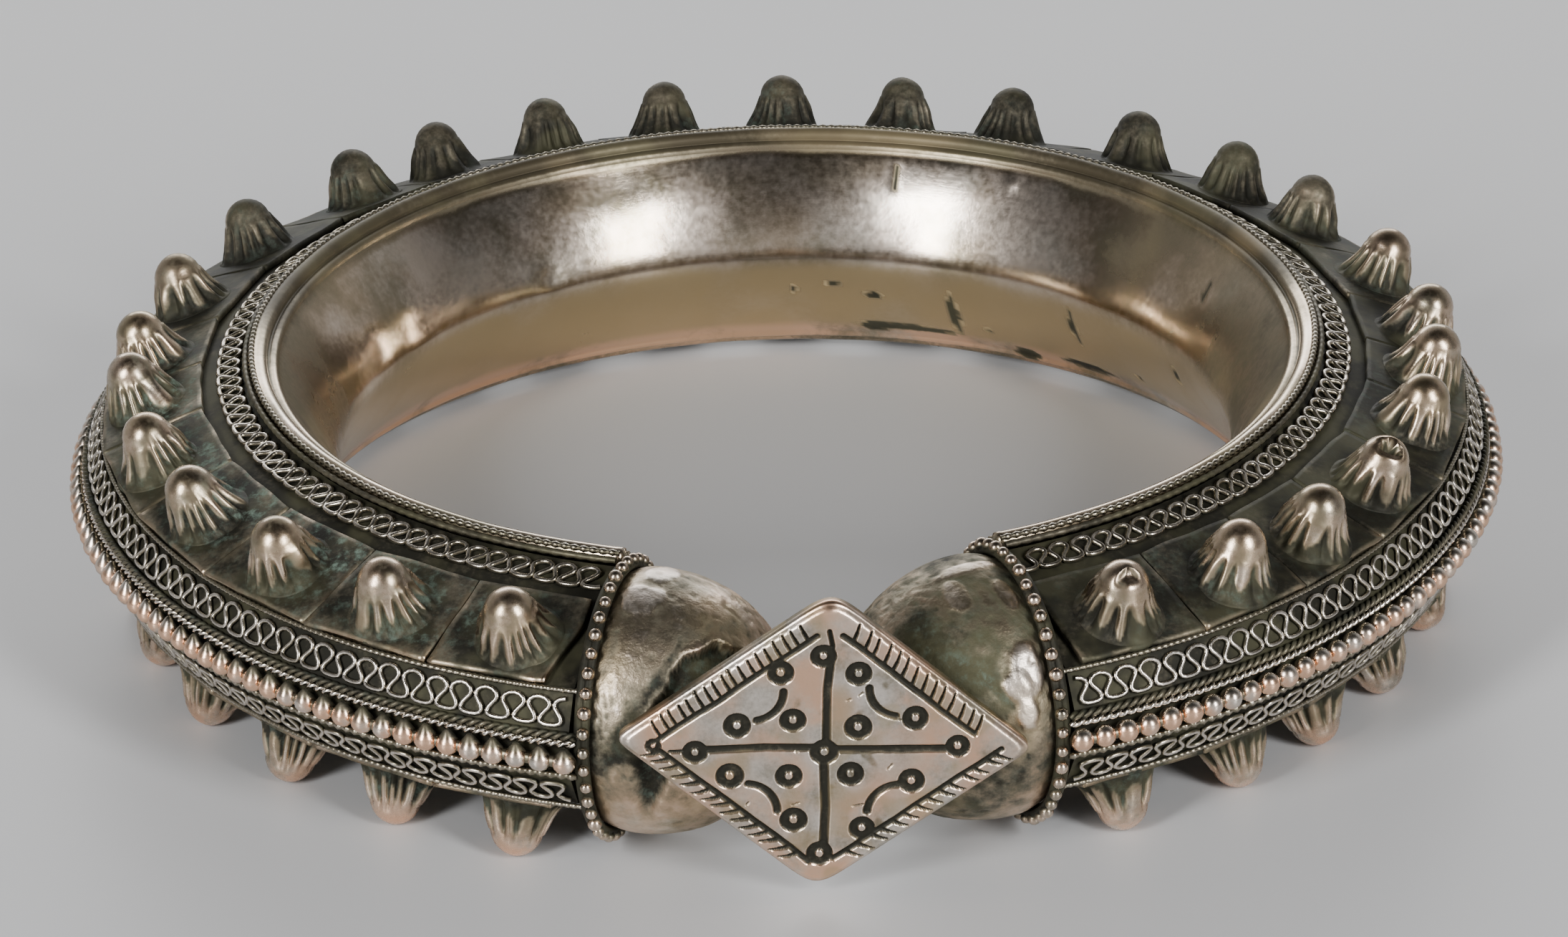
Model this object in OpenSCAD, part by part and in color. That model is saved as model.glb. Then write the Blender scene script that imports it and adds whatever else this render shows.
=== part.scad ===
// Hollow silver bangle with two rows of fluted bosses, filigree bands, a beaded rim,
// domed ends and an engraved lozenge that bridges the opening.
// Z runs along the hoop's axis and the opening faces -Y. The bangle rests on its lower boss
// tips at z = 0, and the origin is the middle of its box's floor.

/* [Hoop] */
// Radius of the crest of the inner band's rolled lips
lip_r = 33.42; // [33.34:0.02:33.44]
// Height of the lips' crests above and below the mid-plane
lip_h = 8; // [7.9:0.05:8.1]
// Radius of the rolled lip
lip_roll = 0.58; // [0.54:0.02:0.58]
// Radius of the small bead that runs inside each lip
lip_bead_r = 0.37; // [0.33:0.01:0.38]
// Radius at which the inner band bulges furthest in
ridge_r = 28.6; // [28.4:0.1:29]
// Thickness of the silver sheet of shell, band and domes
sheet_t = 0.7; // [0.5:0.05:0.75]
// Clearance between neighbouring pieces, filled by solder on the real bangle
gap = 0.06; // [0.06:0.01:0.08]

/* [Section] */
// Radius of the shell at the top face's inner edge
top_in_r = 34.1; // [34.1:0.01:34.14]
// Height of the top face's inner edge above the mid-plane
top_in_h = 7.1; // [7:0.02:7.12]
// Radius of the shell at the top face's outer edge
top_out_r = 43.3; // [43.2:0.05:43.4]
// Height of the top face's outer edge above the mid-plane
top_out_h = 3.7; // [3.6:0.05:3.8]
// Radius of the shell's upright rim
rim_r = 44.45; // [44.35:0.05:44.5]
// Half the height of the upright rim
rim_h = 1.6; // [1.5:0.05:1.7]
// Radius of the circle through the section's centre, where the domes' axes start
core_r = 36.8; // [36.7:0.1:36.9]

/* [Opening] */
// Angle from the opening's middle to each beaded collar
collar_angle = 17.8; // [17.6:0.1:18]
// Angle from the opening's middle to the end of the decorated body
body_angle = 19.05; // [19.05:0.05:19.2]
// Length of each dome from its collar to its tip
dome_len = 10.2; // [9.8:0.1:10.4]
// Largest radius of a dome
dome_r = 7.8; // [7.6:0.05:7.9]
// Radius of a dome where the collar holds it
dome_neck_r = 7.2; // [7.1:0.05:7.2]

/* [Bosses] */
// Number of bosses in each row
boss_count = 27; // [24:1:27]
// Angle from the opening's middle to the first and the last boss
boss_first = 25.35; // [25.2:0.05:25.5]
// Distance from the top face's inner edge to the bosses' axes
boss_along = 6.93; // [6.9:0.01:6.94]
// Radius of a boss's smooth tip
boss_tip_r = 1.62; // [1.58:0.01:1.64]
// Height of the tip's centre above the boss's plate
boss_len = 2.08; // [2:0.02:2.1]
// Radius of a boss's foot
boss_foot_r = 2.75; // [2.7:0.01:2.76]
// Number of flutes round a boss
flute_count = 10; // [8:1:10]
// Width of a flute
flute_w = 0.62; // [0.5:0.02:0.66]
// Thickness of the boss sheet
boss_sheet = 0.4; // [0.35:0.05:0.4]
// How far the lower tips are worn flat
tip_wear = 0.06; // [0.05:0.01:0.1]

/* [Beads and wires] */
// Radius of the beads round the rim
rim_bead_r = 0.7; // [0.66:0.02:0.7]
// Number of beads round the rim
rim_bead_count = 175; // [160:5:175]
// Radius of the beads of a collar
collar_bead_r = 0.45; // [0.42:0.01:0.46]
// Number of beads round a collar
collar_bead_count = 42; // [36:2:42]
// Radius of the circle on which a collar's beads sit
collar_ring_r = 8; // [8:0.01:8.04]
// Radius of the twisted and milled wires beside the rim's beads
wire_r = 0.28; // [0.26:0.01:0.3]
// Radius of the milled wires outside each lip
lip_wire_r = 0.19; // [0.17:0.01:0.2]
// Thickness of the filigree bands
filigree_t = 0.35; // [0.3:0.01:0.36]

/* [Lozenge] */
// Width of the lozenge, corner to corner
lozenge_w = 24; // [23.4:0.1:24.2]
// Height of the lozenge, corner to corner
lozenge_h = 18.9; // [18.4:0.1:19]
// Thickness of the lozenge
lozenge_t = 1.1; // [1:0.05:1.15]
// Distance from the hoop's axis to the lozenge's front face
lozenge_front = 44.6; // [44.6:0.02:44.8]
// Height of the lozenge's centre above the mid-plane
lozenge_rise = 1.34; // [1.3:0.02:1.5]
// How far the lozenge is soldered out of true, clockwise from the front
lozenge_turn = 4; // [3:0.5:5]
// Depth of the engraving
engrave_d = 0.22; // [0.15:0.01:0.25]

/* [Hidden] */

// Slopes of the top face and of the short face between it and the rim
top_slope = atan2(top_in_h - top_out_h, top_out_r - top_in_r);
side_slope = atan2(top_out_h - rim_h, rim_r - top_out_r);
top_len = norm([top_out_r - top_in_r, top_in_h - top_out_h]);
side_len = norm([rim_r - top_out_r, top_out_h - rim_h]);
// Stretches of the top face, measured from its inner edge
filigree_start = 0.77;
filigree_end = 3;
plate_start = filigree_end + 0.08;
plate_end = top_len - 0.06;

// A point on the top face at a distance from its inner edge, raised along its normal
function top_at(along, lift) = [
    top_in_r + along * cos(top_slope) + lift * sin(top_slope),
    top_in_h - along * sin(top_slope) + lift * cos(top_slope)];
// The same for the short side face, measured from its upper edge
function side_at(along, lift) = [
    top_out_r + along * cos(side_slope) + lift * sin(side_slope),
    top_out_h - along * sin(side_slope) + lift * cos(side_slope)];

// The lower boss tips touch z = 0 with their worn flats
boss_tip = top_at(boss_along, gap + boss_sheet + boss_len);
mid_z = boss_tip[1] + boss_tip_r - tip_wear;
// The hoop's axis stands a little in front of the origin, because the rim's beads reach
// further back than the lozenge reaches forward
hoop_y = (lozenge_front - rim_r - gap - 2 * rim_bead_r) / 2;

// Even places of the bosses, from the left of the opening round the back to the right, and
// how many degrees each was set away from its even place by hand
boss_step = (360 - 2 * boss_first) / (boss_count - 1);
boss_shift = [0, 0, 0, -1, -1, -2, 1, 0, -2, -5, -3, -3, -3, -3, -3, -2, -4, -4, -3, -5, -6, -3,
    -2, -3, -2, 0, 0];
function boss_at(i) = -90 - boss_first - i * boss_step + boss_shift[i];
// Half the angle to the next boss on either side, which its square plate fills
function half_before(i) = i == 0 ? boss_step / 2 : (boss_at(i - 1) - boss_at(i)) / 2;
function half_after(i) = i == boss_count - 1 ? boss_step / 2 : (boss_at(i) - boss_at(i + 1)) / 2;
// Bosses whose tips are torn open and dented
holed_boss = 23;
dented_boss = 26;

silver = "#9b9587";
worn_silver = "#c9b8a6";
dark_silver = "#6f6b5e";
bright_silver = "#c8c3b8";

// Sweeps an outline of radius and height round the hoop, between the body's two ends
module hoop() {
    translate([0, hoop_y, mid_z]) rotate([0, 0, -90 + body_angle])
        rotate_extrude(angle = 360 - 2 * body_angle, $fn = 180) children();
}

// Shell: outer outline from the top face's inner edge to the bottom's, and the same drawn in
// towards the section's centre
shell_outline = [[top_in_r, top_in_h], [top_out_r, top_out_h], [rim_r, rim_h],
    [rim_r, -rim_h], [top_out_r, -top_out_h], [top_in_r, -top_in_h]];
draw_in = 1 - sheet_t / (rim_r - core_r);
function drawn_in(p) = [core_r + (p[0] - core_r) * draw_in, p[1] * draw_in];

module outer_shell() {
    color(dark_silver) hoop() polygon(concat(shell_outline,
        [for (k = [len(shell_outline) - 1:-1:0]) drawn_in(shell_outline[k])]));
}

// Inner band: a sheet that bulges inwards at mid height and ends in two rolled lips, each with
// a small bead inside it
roll_h = lip_h - lip_roll;
wall_h = roll_h - 0.32;
wall_top_r = lip_r - lip_roll - 0.5;
function wall_r(h) = ridge_r + (wall_top_r - ridge_r) * pow(abs(h) / wall_h, 1.35);
wall_steps = 8;
wall_heights = [for (k = [-wall_steps:wall_steps]) wall_h * k / wall_steps];

module inner_band() {
    color(bright_silver) union() {
        hoop() polygon(concat([for (h = wall_heights) [wall_r(h), h]],
            [for (k = [2 * wall_steps:-1:0])
                [wall_r(wall_heights[k]) + sheet_t * 1.15, wall_heights[k]]]));
        for (side = [-1, 1]) {
            hoop() translate([lip_r, side * roll_h]) circle(r = lip_roll, $fn = 48);
            hoop() translate([wall_top_r + 0.2, side * (wall_h - 0.1)])
                circle(r = lip_bead_r, $fn = 48);
        }
    }
}

// Dome: half outline along its axis, from inside the collar to its closed tip
dome_back = 0.45;
dome_swell = 1.6;
dome_steps = 10;
function dome_out(s) = s < dome_swell
    ? dome_r - (dome_r - dome_neck_r) * pow((dome_swell - s) / (dome_swell + dome_back), 2)
    : dome_r * sqrt(max(0, 1 - pow((s - dome_swell) / (dome_len - dome_swell), 2)));
function dome_station(k) = k < 3 ? -dome_back + k * (dome_swell + dome_back) / 3
    : dome_swell + (dome_len - dome_swell) * sin((k - 3) * 90 / (dome_steps - 1));
dome_line = [for (k = [0:dome_steps + 2]) [dome_out(dome_station(k)), dome_station(k)]];
dome_inside = [for (p = dome_line) if (p[1] < dome_len - sheet_t)
    [max(0, p[0] - sheet_t - 0.25 * sheet_t * max(0, p[1] / dome_len)), p[1]]];

// Puts a piece whose axis is Z onto a dome's axis, at the collar, pointing to the opening
module at_end(side) {
    translate([0, hoop_y, mid_z]) rotate([0, 0, side * collar_angle]) translate([0, -core_r, 0])
        rotate([0, -side * 90, 0]) children();
}

module terminal(side) {
    color(silver) at_end(side) rotate_extrude($fn = 96) polygon(concat(dome_line,
        [[0, dome_len - sheet_t]],
        [for (k = [len(dome_inside) - 1:-1:0]) dome_inside[k]]));
}

// The left dome's sheet is torn open along the lozenge's upper edge
tear_turn = 228;
tear_from = 5.3;
tear_len = 2.2;
tear_w = 0.5;
module left_terminal() {
    color(silver) difference() {
        terminal(-1);
        at_end(-1) rotate([0, 0, tear_turn]) translate([dome_r / 2, -tear_w / 2, tear_from])
            cube([dome_r, tear_w, tear_len]);
    }
}
module right_terminal() terminal(1);

// Collar: beads on a wire round the body's end
module collar(side) {
    color(silver) at_end(side) union() {
        rotate_extrude($fn = 96) translate([collar_ring_r, 0]) circle(r = collar_bead_r * 0.6, $fn = 24);
        for (k = [0:collar_bead_count - 1]) rotate([0, 0, (k + 0.5) * 360 / collar_bead_count])
            translate([collar_ring_r, 0, 0]) sphere(r = collar_bead_r, $fn = 24);
    }
}

module left_collar() collar(-1);
module right_collar() collar(1);

// Stands a piece on the top face at an angle round the hoop, its Z along the face's normal
module on_top_face(angle) {
    seat = top_at(boss_along, gap);
    translate([0, hoop_y, mid_z]) rotate([0, 0, angle]) translate([seat[0], 0, seat[1]])
        rotate([0, top_slope, 0]) children();
}

// Boss: half outline of its cone from the plate to the smooth tip, and of the hollow in it
tip_angles = [8:16.4:90];
tip_z = boss_sheet + boss_len;
boss_line = [[boss_foot_r, 0], [boss_foot_r, boss_sheet], [boss_foot_r * 0.93, boss_sheet + 0.5],
    [boss_foot_r * 0.77, boss_sheet + 1.4],
    for (a = tip_angles) [boss_tip_r * cos(a), tip_z + boss_tip_r * sin(a)]];
hollow_tip_r = boss_tip_r - boss_sheet;
hollow_line = [[boss_foot_r - 0.45, -1], [boss_foot_r - 0.45, boss_sheet * 0.5],
    [boss_foot_r * 0.93 - 0.45, boss_sheet + 0.35], [boss_foot_r * 0.77 - 0.45, boss_sheet + 1.25],
    for (a = tip_angles) [hollow_tip_r * cos(a), tip_z + hollow_tip_r * sin(a)]];

module boss_plate(i) {
    inner = plate_start - boss_along;
    outer = plate_end - boss_along;
    r_in = top_at(plate_start, 0)[0];
    r_out = top_at(plate_end, 0)[0];
    before = half_before(i);
    after = half_after(i);
    linear_extrude(boss_sheet) polygon([
        [inner, -r_in * tan(after) + gap], [outer, -r_out * tan(after) + gap],
        [outer, r_out * tan(before) - gap], [inner, r_in * tan(before) - gap]]);
}

module boss(i) {
    difference() {
        union() {
            boss_plate(i);
            rotate_extrude($fn = 48) polygon(concat([[0, 0]], boss_line, [[0, tip_z + boss_tip_r]]));
        }
        rotate_extrude($fn = 48)
            polygon(concat([[0, -1]], hollow_line, [[0, tip_z + hollow_tip_r]]));
        for (k = [0:flute_count - 1]) rotate([0, 0, (k + 0.5) * 360 / flute_count])
            translate([boss_foot_r + 0.1, 0, boss_sheet + 0.02]) rotate([0, -22, 0])
                cylinder(r = flute_w / 2, h = 2.6, $fn = 24);
    }
}

module upper_bosses() {
    color(silver) for (i = [0:boss_count - 1]) on_top_face(boss_at(i)) difference() {
        boss(i);
        if (i == holed_boss) translate([0.3, 0.2, tip_z + 0.5]) cylinder(r = 0.4, h = 2, $fn = 24);
        if (i == dented_boss) translate([-0.2, 0, tip_z + boss_tip_r + 0.75]) sphere(r = 0.95, $fn = 48);
    }
}

module lower_bosses() {
    color(worn_silver) difference() {
        translate([0, 0, 2 * mid_z]) mirror([0, 0, 1])
            for (i = [0:boss_count - 1]) on_top_face(boss_at(i)) boss(i);
        translate([0, hoop_y, -2]) cylinder(r = rim_r + 4, h = 2, $fn = 96);
    }
}

// Rim: beads on a core wire, with a twisted wire above and a milled wire below
module rim_beads() {
    bead_r = rim_r + gap + rim_bead_r;
    bead_angle = body_angle + 0.9;
    color(worn_silver) translate([0, hoop_y, mid_z]) union() {
        rotate([0, 0, -90 + bead_angle]) rotate_extrude(angle = 360 - 2 * bead_angle, $fn = 180)
            translate([bead_r, 0]) circle(r = rim_bead_r * 0.6, $fn = 24);
        for (k = [0:rim_bead_count - 1])
            rotate([0, 0, -90 + bead_angle + k * (360 - 2 * bead_angle) / (rim_bead_count - 1)])
                translate([bead_r, 0, 0]) sphere(r = rim_bead_r, $fn = 24);
    }
}

module wire_at(p, r) {
    translate(p) circle(r = r, $fn = 24);
}

module rim_wires() {
    rope_r = rim_r + gap + wire_r;
    color(silver) hoop() {
        wire_at([rope_r, rim_bead_r + 0.1 + wire_r], wire_r);
        wire_at([rope_r - 0.02, -rim_bead_r - 0.1 - wire_r], wire_r);
    }
}

module lip_wires() {
    first = [lip_r, roll_h] + (lip_roll + lip_wire_r + 0.12) * [cos(17), sin(17)];
    second = top_at(0.5, 0.4);
    color(silver) hoop() for (side = [-1, 1]) {
        wire_at([first[0], side * first[1]], lip_wire_r);
        wire_at([second[0], side * second[1]], lip_wire_r);
    }
}

// Filigree: flat bands that the serpentine wires fill
module band(from, to, lifted) {
    polygon([from, to, to + lifted, from + lifted]);
}

module inner_filigree(side) {
    from = top_at(filigree_start, gap);
    to = top_at(filigree_end, gap);
    lifted = filigree_t * [sin(top_slope), cos(top_slope)];
    color(silver) hoop() scale([1, side]) band(from, to, lifted);
}

module outer_filigree(side, from_edge, to_edge) {
    from = side_at(from_edge, gap);
    to = side_at(to_edge, gap);
    lifted = filigree_t * [sin(side_slope), cos(side_slope)];
    color(silver) hoop() scale([1, side]) band(from, to, lifted);
}

module upper_inner_filigree() inner_filigree(1);
module lower_inner_filigree() inner_filigree(-1);
module upper_outer_filigree() outer_filigree(1, 0.05, side_len - 0.02);
module lower_outer_filigree() outer_filigree(-1, 0.45, side_len - 0.02);

// Lozenge: bevelled front, engraved cross, border line with ticks, ring punches and curls
half_w = lozenge_w / 2;
half_h = lozenge_h / 2;
corner_cut = 0.5;
bevel = 0.35;
line_w = 0.42;
punch_r = 0.7;
curl_r = 1.62;
// Places of the ring punches, set by eye: share of the half width, share of the half height
punches = [[0, -0.04], [-0.03, 0.61], [0, -0.74], [-0.61, -0.06], [0.63, 0.02], [-0.81, -0.02],
    [-0.23, 0.49], [-0.42, 0.13], [-0.16, 0.17], [0.14, 0.49], [0.42, 0.2], [0.15, 0.13],
    [-0.44, -0.22], [-0.16, -0.21], [-0.13, -0.51], [0.13, -0.19], [0.42, -0.23], [0.2, -0.56]];
// Quarters: side, height, border line's distance from the edge, ticks, centre of the curl as
// shares of the half width and half height
quarters = [[-1, 1, 1.43, 18, 0.36, 0.35], [1, 1, 1.45, 15, 0.34, 0.4],
    [-1, -1, 1.22, 15, 0.36, 0.47], [1, -1, 1.18, 14, 0.37, 0.44]];

// Share of the lozenge's size that is left inside a line this far in from its edges
function share_in(inset) = 1 - inset * norm([half_w, half_h]) / (half_w * half_h);

module lozenge_outline(inset) {
    a = half_w * share_in(inset);
    b = half_h * share_in(inset);
    u = corner_cut * b / a;
    v = corner_cut * a / b;
    polygon([[a - corner_cut, -u], [a - corner_cut, u], [v, b - corner_cut], [-v, b - corner_cut],
        [-a + corner_cut, u], [-a + corner_cut, -u], [-v, -b + corner_cut], [v, -b + corner_cut]]);
}

// A straight cut between two points of the front face
module cut_line(p, q, w) {
    d = q - p;
    translate([p[0], p[1], lozenge_t - engrave_d]) rotate([0, 0, atan2(d[1], d[0])])
        translate([0, -w / 2, 0]) cube([norm(d), w, 1]);
}

module ring_punch(p) {
    translate([p[0], p[1], lozenge_t - engrave_d]) difference() {
        cylinder(r = punch_r, h = 1, $fn = 32);
        translate([0, 0, -0.5]) cylinder(r = punch_r - line_w, h = 2, $fn = 32);
    }
}

// A quarter circle that bulges towards the lozenge's centre
module curl(p) {
    translate([p[0], p[1], lozenge_t - engrave_d]) rotate([0, 0, atan2(-p[1], -p[0]) - 45])
        rotate_extrude(angle = 90, $fn = 48) translate([curl_r, 0]) square([line_w, 1]);
}

// The border line of one quarter, with its ticks and its curl
module quarter(q) {
    k = share_in(q[2]);
    corner_x = q[0] * half_w * k;
    corner_y = q[1] * half_h * k;
    outward = [q[0] * half_h, q[1] * half_w] / norm([half_w, half_h]);
    cut_line([corner_x * 0.96, corner_y * 0.04], [corner_x * 0.06, corner_y * 0.94], line_w * 0.8);
    for (t = [1:q[3] - 1]) {
        inner = [corner_x * (1 - t / q[3]), corner_y * t / q[3]];
        cut_line(inner + outward * 0.1, inner + outward * (q[2] - bevel - 0.05), 0.2);
    }
    curl([q[0] * q[4] * half_w, q[1] * q[5] * half_h]);
}

module lozenge_engraving() {
    cut_line([-0.56 * half_w, -0.05 * half_h], [0.59 * half_w, 0], line_w);
    cut_line([0.02 * half_w, -0.68 * half_h], [0, 0.75 * half_h], line_w);
    for (q = quarters) quarter(q);
    for (p = punches) ring_punch([p[0] * half_w, p[1] * half_h]);
}

module lozenge_plate() {
    color(worn_silver) translate([0, hoop_y - lozenge_front + lozenge_t, mid_z + lozenge_rise])
        rotate([90, 0, 0]) rotate([0, 0, -lozenge_turn]) difference() {
            union() {
                linear_extrude(lozenge_t - bevel) lozenge_outline(0);
                linear_extrude(lozenge_t) lozenge_outline(bevel);
            }
            lozenge_engraving();
        }
}

outer_shell();
inner_band();
left_terminal();
right_terminal();
left_collar();
right_collar();
lozenge_plate();
upper_bosses();
lower_bosses();
rim_beads();
rim_wires();
lip_wires();
upper_inner_filigree();
upper_outer_filigree();
lower_outer_filigree();
lower_inner_filigree();
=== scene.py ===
import math
import random

import bmesh
import bpy
import numpy as np
from bpy.props import FloatProperty, FloatVectorProperty, IntProperty, PointerProperty
from mathutils import Matrix, Vector, noise


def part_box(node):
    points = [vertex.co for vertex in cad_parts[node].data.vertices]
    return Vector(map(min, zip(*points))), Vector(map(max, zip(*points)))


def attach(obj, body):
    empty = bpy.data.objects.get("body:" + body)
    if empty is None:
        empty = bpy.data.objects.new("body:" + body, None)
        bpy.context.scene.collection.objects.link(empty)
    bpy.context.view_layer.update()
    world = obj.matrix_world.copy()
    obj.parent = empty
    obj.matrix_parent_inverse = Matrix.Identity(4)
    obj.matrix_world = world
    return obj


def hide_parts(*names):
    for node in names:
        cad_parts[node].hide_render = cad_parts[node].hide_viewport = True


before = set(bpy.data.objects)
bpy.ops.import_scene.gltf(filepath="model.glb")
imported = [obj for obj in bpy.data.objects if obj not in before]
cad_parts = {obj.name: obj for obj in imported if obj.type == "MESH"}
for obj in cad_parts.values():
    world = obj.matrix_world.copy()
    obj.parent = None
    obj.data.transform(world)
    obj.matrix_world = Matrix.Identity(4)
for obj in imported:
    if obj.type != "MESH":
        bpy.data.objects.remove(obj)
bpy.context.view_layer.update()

bl_info = {
    "name": "Bossed silver bangle",
    "version": (1, 0, 0),
    "blender": (4, 5, 0),
    "location": "3D View > Sidebar > Bangle",
    "description": "Dresses the packed frame of a hollow silver bangle with worked silver",
    "category": "Add Mesh",
}

MM = 0.001


# Sizes and finishes that a user would change
class BangleHoop(bpy.types.PropertyGroup):
    """Section of the hoop, as radii from its axis and heights from its mid-plane"""

    lip_radius: FloatProperty(
        name="Lip radius", description="Radius of the rolled lips' crests",
        default=0.03342, unit="LENGTH", subtype="DISTANCE")
    lip_height: FloatProperty(
        name="Lip height", description="Height of the lips' crests above the mid-plane",
        default=0.008, unit="LENGTH", subtype="DISTANCE")
    ridge_radius: FloatProperty(
        name="Ridge radius", description="Radius at which the inner band bulges furthest in",
        default=0.0286, unit="LENGTH", subtype="DISTANCE")
    core_radius: FloatProperty(
        name="Core radius", description="Radius of the circle on which the domes' axes start",
        default=0.0368, unit="LENGTH", subtype="DISTANCE")
    rim_radius: FloatProperty(
        name="Rim radius", description="Radius of the shell's upright rim",
        default=0.04445, unit="LENGTH", subtype="DISTANCE")
    body_angle: FloatProperty(
        name="Body angle", description="Angle from the opening's middle to the body's ends",
        default=math.radians(18.45), subtype="ANGLE")
    collar_angle: FloatProperty(
        name="Collar angle", description="Angle from the opening's middle to the collars",
        default=math.radians(17.8), subtype="ANGLE")


class BangleBosses(bpy.types.PropertyGroup):
    """The two rows of fluted bosses"""

    count: IntProperty(name="Count", description="Bosses in each row", default=27, min=3)
    first_angle: FloatProperty(
        name="First angle", description="Angle from the opening's middle to the first boss",
        default=math.radians(25.35), subtype="ANGLE")
    tip_radius: FloatProperty(
        name="Tip radius", description="Radius of a boss's smooth tip",
        default=0.00162, unit="LENGTH", subtype="DISTANCE")
    flutes: IntProperty(name="Flutes", description="Flutes round a boss", default=15, min=6)
    flute_depth: FloatProperty(
        name="Flute depth", description="Depth of the flutes between the ribs",
        default=0.00032, unit="LENGTH", subtype="DISTANCE")


class BangleWires(bpy.types.PropertyGroup):
    """Filigree, ropes, milled wires and beads"""

    filigree_radius: FloatProperty(
        name="Filigree wire", description="Radius of the serpentine wires",
        default=0.000145, unit="LENGTH", subtype="DISTANCE")
    outer_loops: IntProperty(
        name="Outer loops", description="Loops of the outer bands", default=152)
    inner_loops: IntProperty(
        name="Inner loops", description="Loops of the inner bands", default=134)
    rim_beads: IntProperty(name="Rim beads", description="Beads round the rim", default=175)
    rim_bead_radius: FloatProperty(
        name="Rim bead", description="Radius of the rim's beads",
        default=0.0007, unit="LENGTH", subtype="DISTANCE")


class BangleLozenge(bpy.types.PropertyGroup):
    """The engraved plate over the opening"""

    width: FloatProperty(
        name="Width", description="Width of the lozenge from corner to corner",
        default=0.024, unit="LENGTH", subtype="DISTANCE")
    height: FloatProperty(
        name="Height", description="Height of the lozenge from corner to corner",
        default=0.0189, unit="LENGTH", subtype="DISTANCE")
    turn: FloatProperty(
        name="Turn", description="How far it is soldered out of true",
        default=math.radians(4), subtype="ANGLE")
    depth: FloatProperty(
        name="Engraving depth", description="Depth of the engraved lines",
        default=0.00022, unit="LENGTH", subtype="DISTANCE")


class BangleSilver(bpy.types.PropertyGroup):
    """Colours of the silver and of what has settled on it; peach and straw also paint warm
    reflections of the floor, and the bright, dull and dark colours also paint highlights and shade
    """

    bright: FloatVectorProperty(
        name="Bright silver", description="Silver rubbed bright by wear",
        default=(0.82, 0.75, 0.67), size=3, subtype="COLOR")
    dull: FloatVectorProperty(
        name="Dull silver", description="Silver with a thin tarnish",
        default=(0.275, 0.24, 0.173), size=3, subtype="COLOR")
    dark: FloatVectorProperty(
        name="Dark tarnish", description="Old tarnish in the hollows",
        default=(0.0215, 0.0205, 0.015), size=3, subtype="COLOR")
    olive: FloatVectorProperty(
        name="Olive stain", description="Yellow-green film over the tarnish",
        default=(0.125, 0.12, 0.066), size=3, subtype="COLOR")
    # Straw also paints the warm reflection of the floor on lower faces
    straw_and_reflection: FloatVectorProperty(
        name="Straw", description="Thin yellow tarnish on bright silver",
        default=(0.50, 0.385, 0.215), size=3, subtype="COLOR")
    # Peach also paints the warm reflection of the floor on lower faces
    peach: FloatVectorProperty(
        name="Peach", description="Coppery blush where the silver is rubbed through",
        default=(0.85, 0.545, 0.37), size=3, subtype="COLOR")
    verdigris: FloatVectorProperty(
        name="Verdigris", description="Green copper salts in the seams",
        default=(0.17, 0.235, 0.19), size=3, subtype="COLOR")


class BangleStudio(bpy.types.PropertyGroup):
    """Floor, lights and camera"""

    floor_colour: FloatVectorProperty(
        name="Floor", description="Colour of the floor",
        default=(0.55, 0.552, 0.56), size=3, subtype="COLOR")
    wall_colour: FloatVectorProperty(
        name="Walls", description="Light from the studio's walls, near the horizon",
        default=(0.45, 0.45, 0.455), size=3, subtype="COLOR")
    ceiling_colour: FloatVectorProperty(
        name="Ceiling", description="Light from the studio's ceiling",
        default=(0.03, 0.03, 0.027), size=3, subtype="COLOR")
    light_power: FloatProperty(
        name="Light power", description="Power of each soft light in watts", default=6.0, min=0)
    lens: FloatProperty(name="Lens", description="Focal length in millimetres", default=123.29)


# All lengths from here on are in millimetres, round the hoop's centre.
# The section's corners as radius and height: the top face slopes from its inner edge outwards,
# and the short side face goes on to the upright rim
TOP_IN, TOP_OUT, RIM = (34.1, 7.1), (43.3, 3.7), (44.45, 1.6)
TOP_SLOPE = math.atan2(TOP_IN[1] - TOP_OUT[1], TOP_OUT[0] - TOP_IN[0])
# Where the hoop's centre stands in the frame
shell_low, shell_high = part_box("outer_shell")
HOOP = Vector((0, shell_high[1] / MM - RIM[0], (shell_low[2] + shell_high[2]) / MM / 2))
# How far down the top face the plates start and end, and the bosses stand
PLATE_FROM, PLATE_TO, BOSS_ALONG = 3.08, 9.75, 6.93
# Room for the solder between two pieces, and the thickness of the plates
GAP, SHEET = 0.06, 0.4
# How many degrees each boss stands away from its even place, left to right round the back
BOSS_SHIFT = (0, 0, 0, -1, -1, -2, 1, 0, -2, -5, -3, -3, -3, -3, -3, -2, -4, -4, -3, -5, -6, -3,
              -2, -3, -2, 0, 0)
# The upper bosses whose tips are torn open and dented, and the last one of a row
HOLED, DENTED, LAST_BOSS = 23, 26, len(BOSS_SHIFT) - 1


# The section
def along(start, end, distance, lift):
    """Radius and height of a point on a face of the section, raised along its normal."""
    length = math.hypot(end[0] - start[0], end[1] - start[1])
    c, s = (end[0] - start[0]) / length, (start[1] - end[1]) / length
    return start[0] + distance * c + lift * s, start[1] - distance * s + lift * c


def on_top(distance, lift):
    return along(TOP_IN, TOP_OUT, distance, lift)


def on_side(distance, lift):
    return along(TOP_OUT, RIM, distance, lift)


def body_span(hoop, inset=0.0):
    """The angles at which the body starts and ends, or a piece that stops degrees short of it."""
    short = hoop.body_angle + math.radians(inset)
    return -math.pi / 2 + short, 1.5 * math.pi - short


# Meshes
def points_of(mesh):
    """The mesh's vertices as an array."""
    co = np.empty(len(mesh.vertices) * 3)
    mesh.vertices.foreach_get("co", co)
    return co.reshape(-1, 3)


def radius_of(co):
    """How far each point is from the axis Z."""
    return np.hypot(co[:, 0], co[:, 1])


def set_points(mesh, co):
    mesh.vertices.foreach_set("co", np.ascontiguousarray(co, dtype=np.float32).ravel())
    mesh.update()


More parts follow.
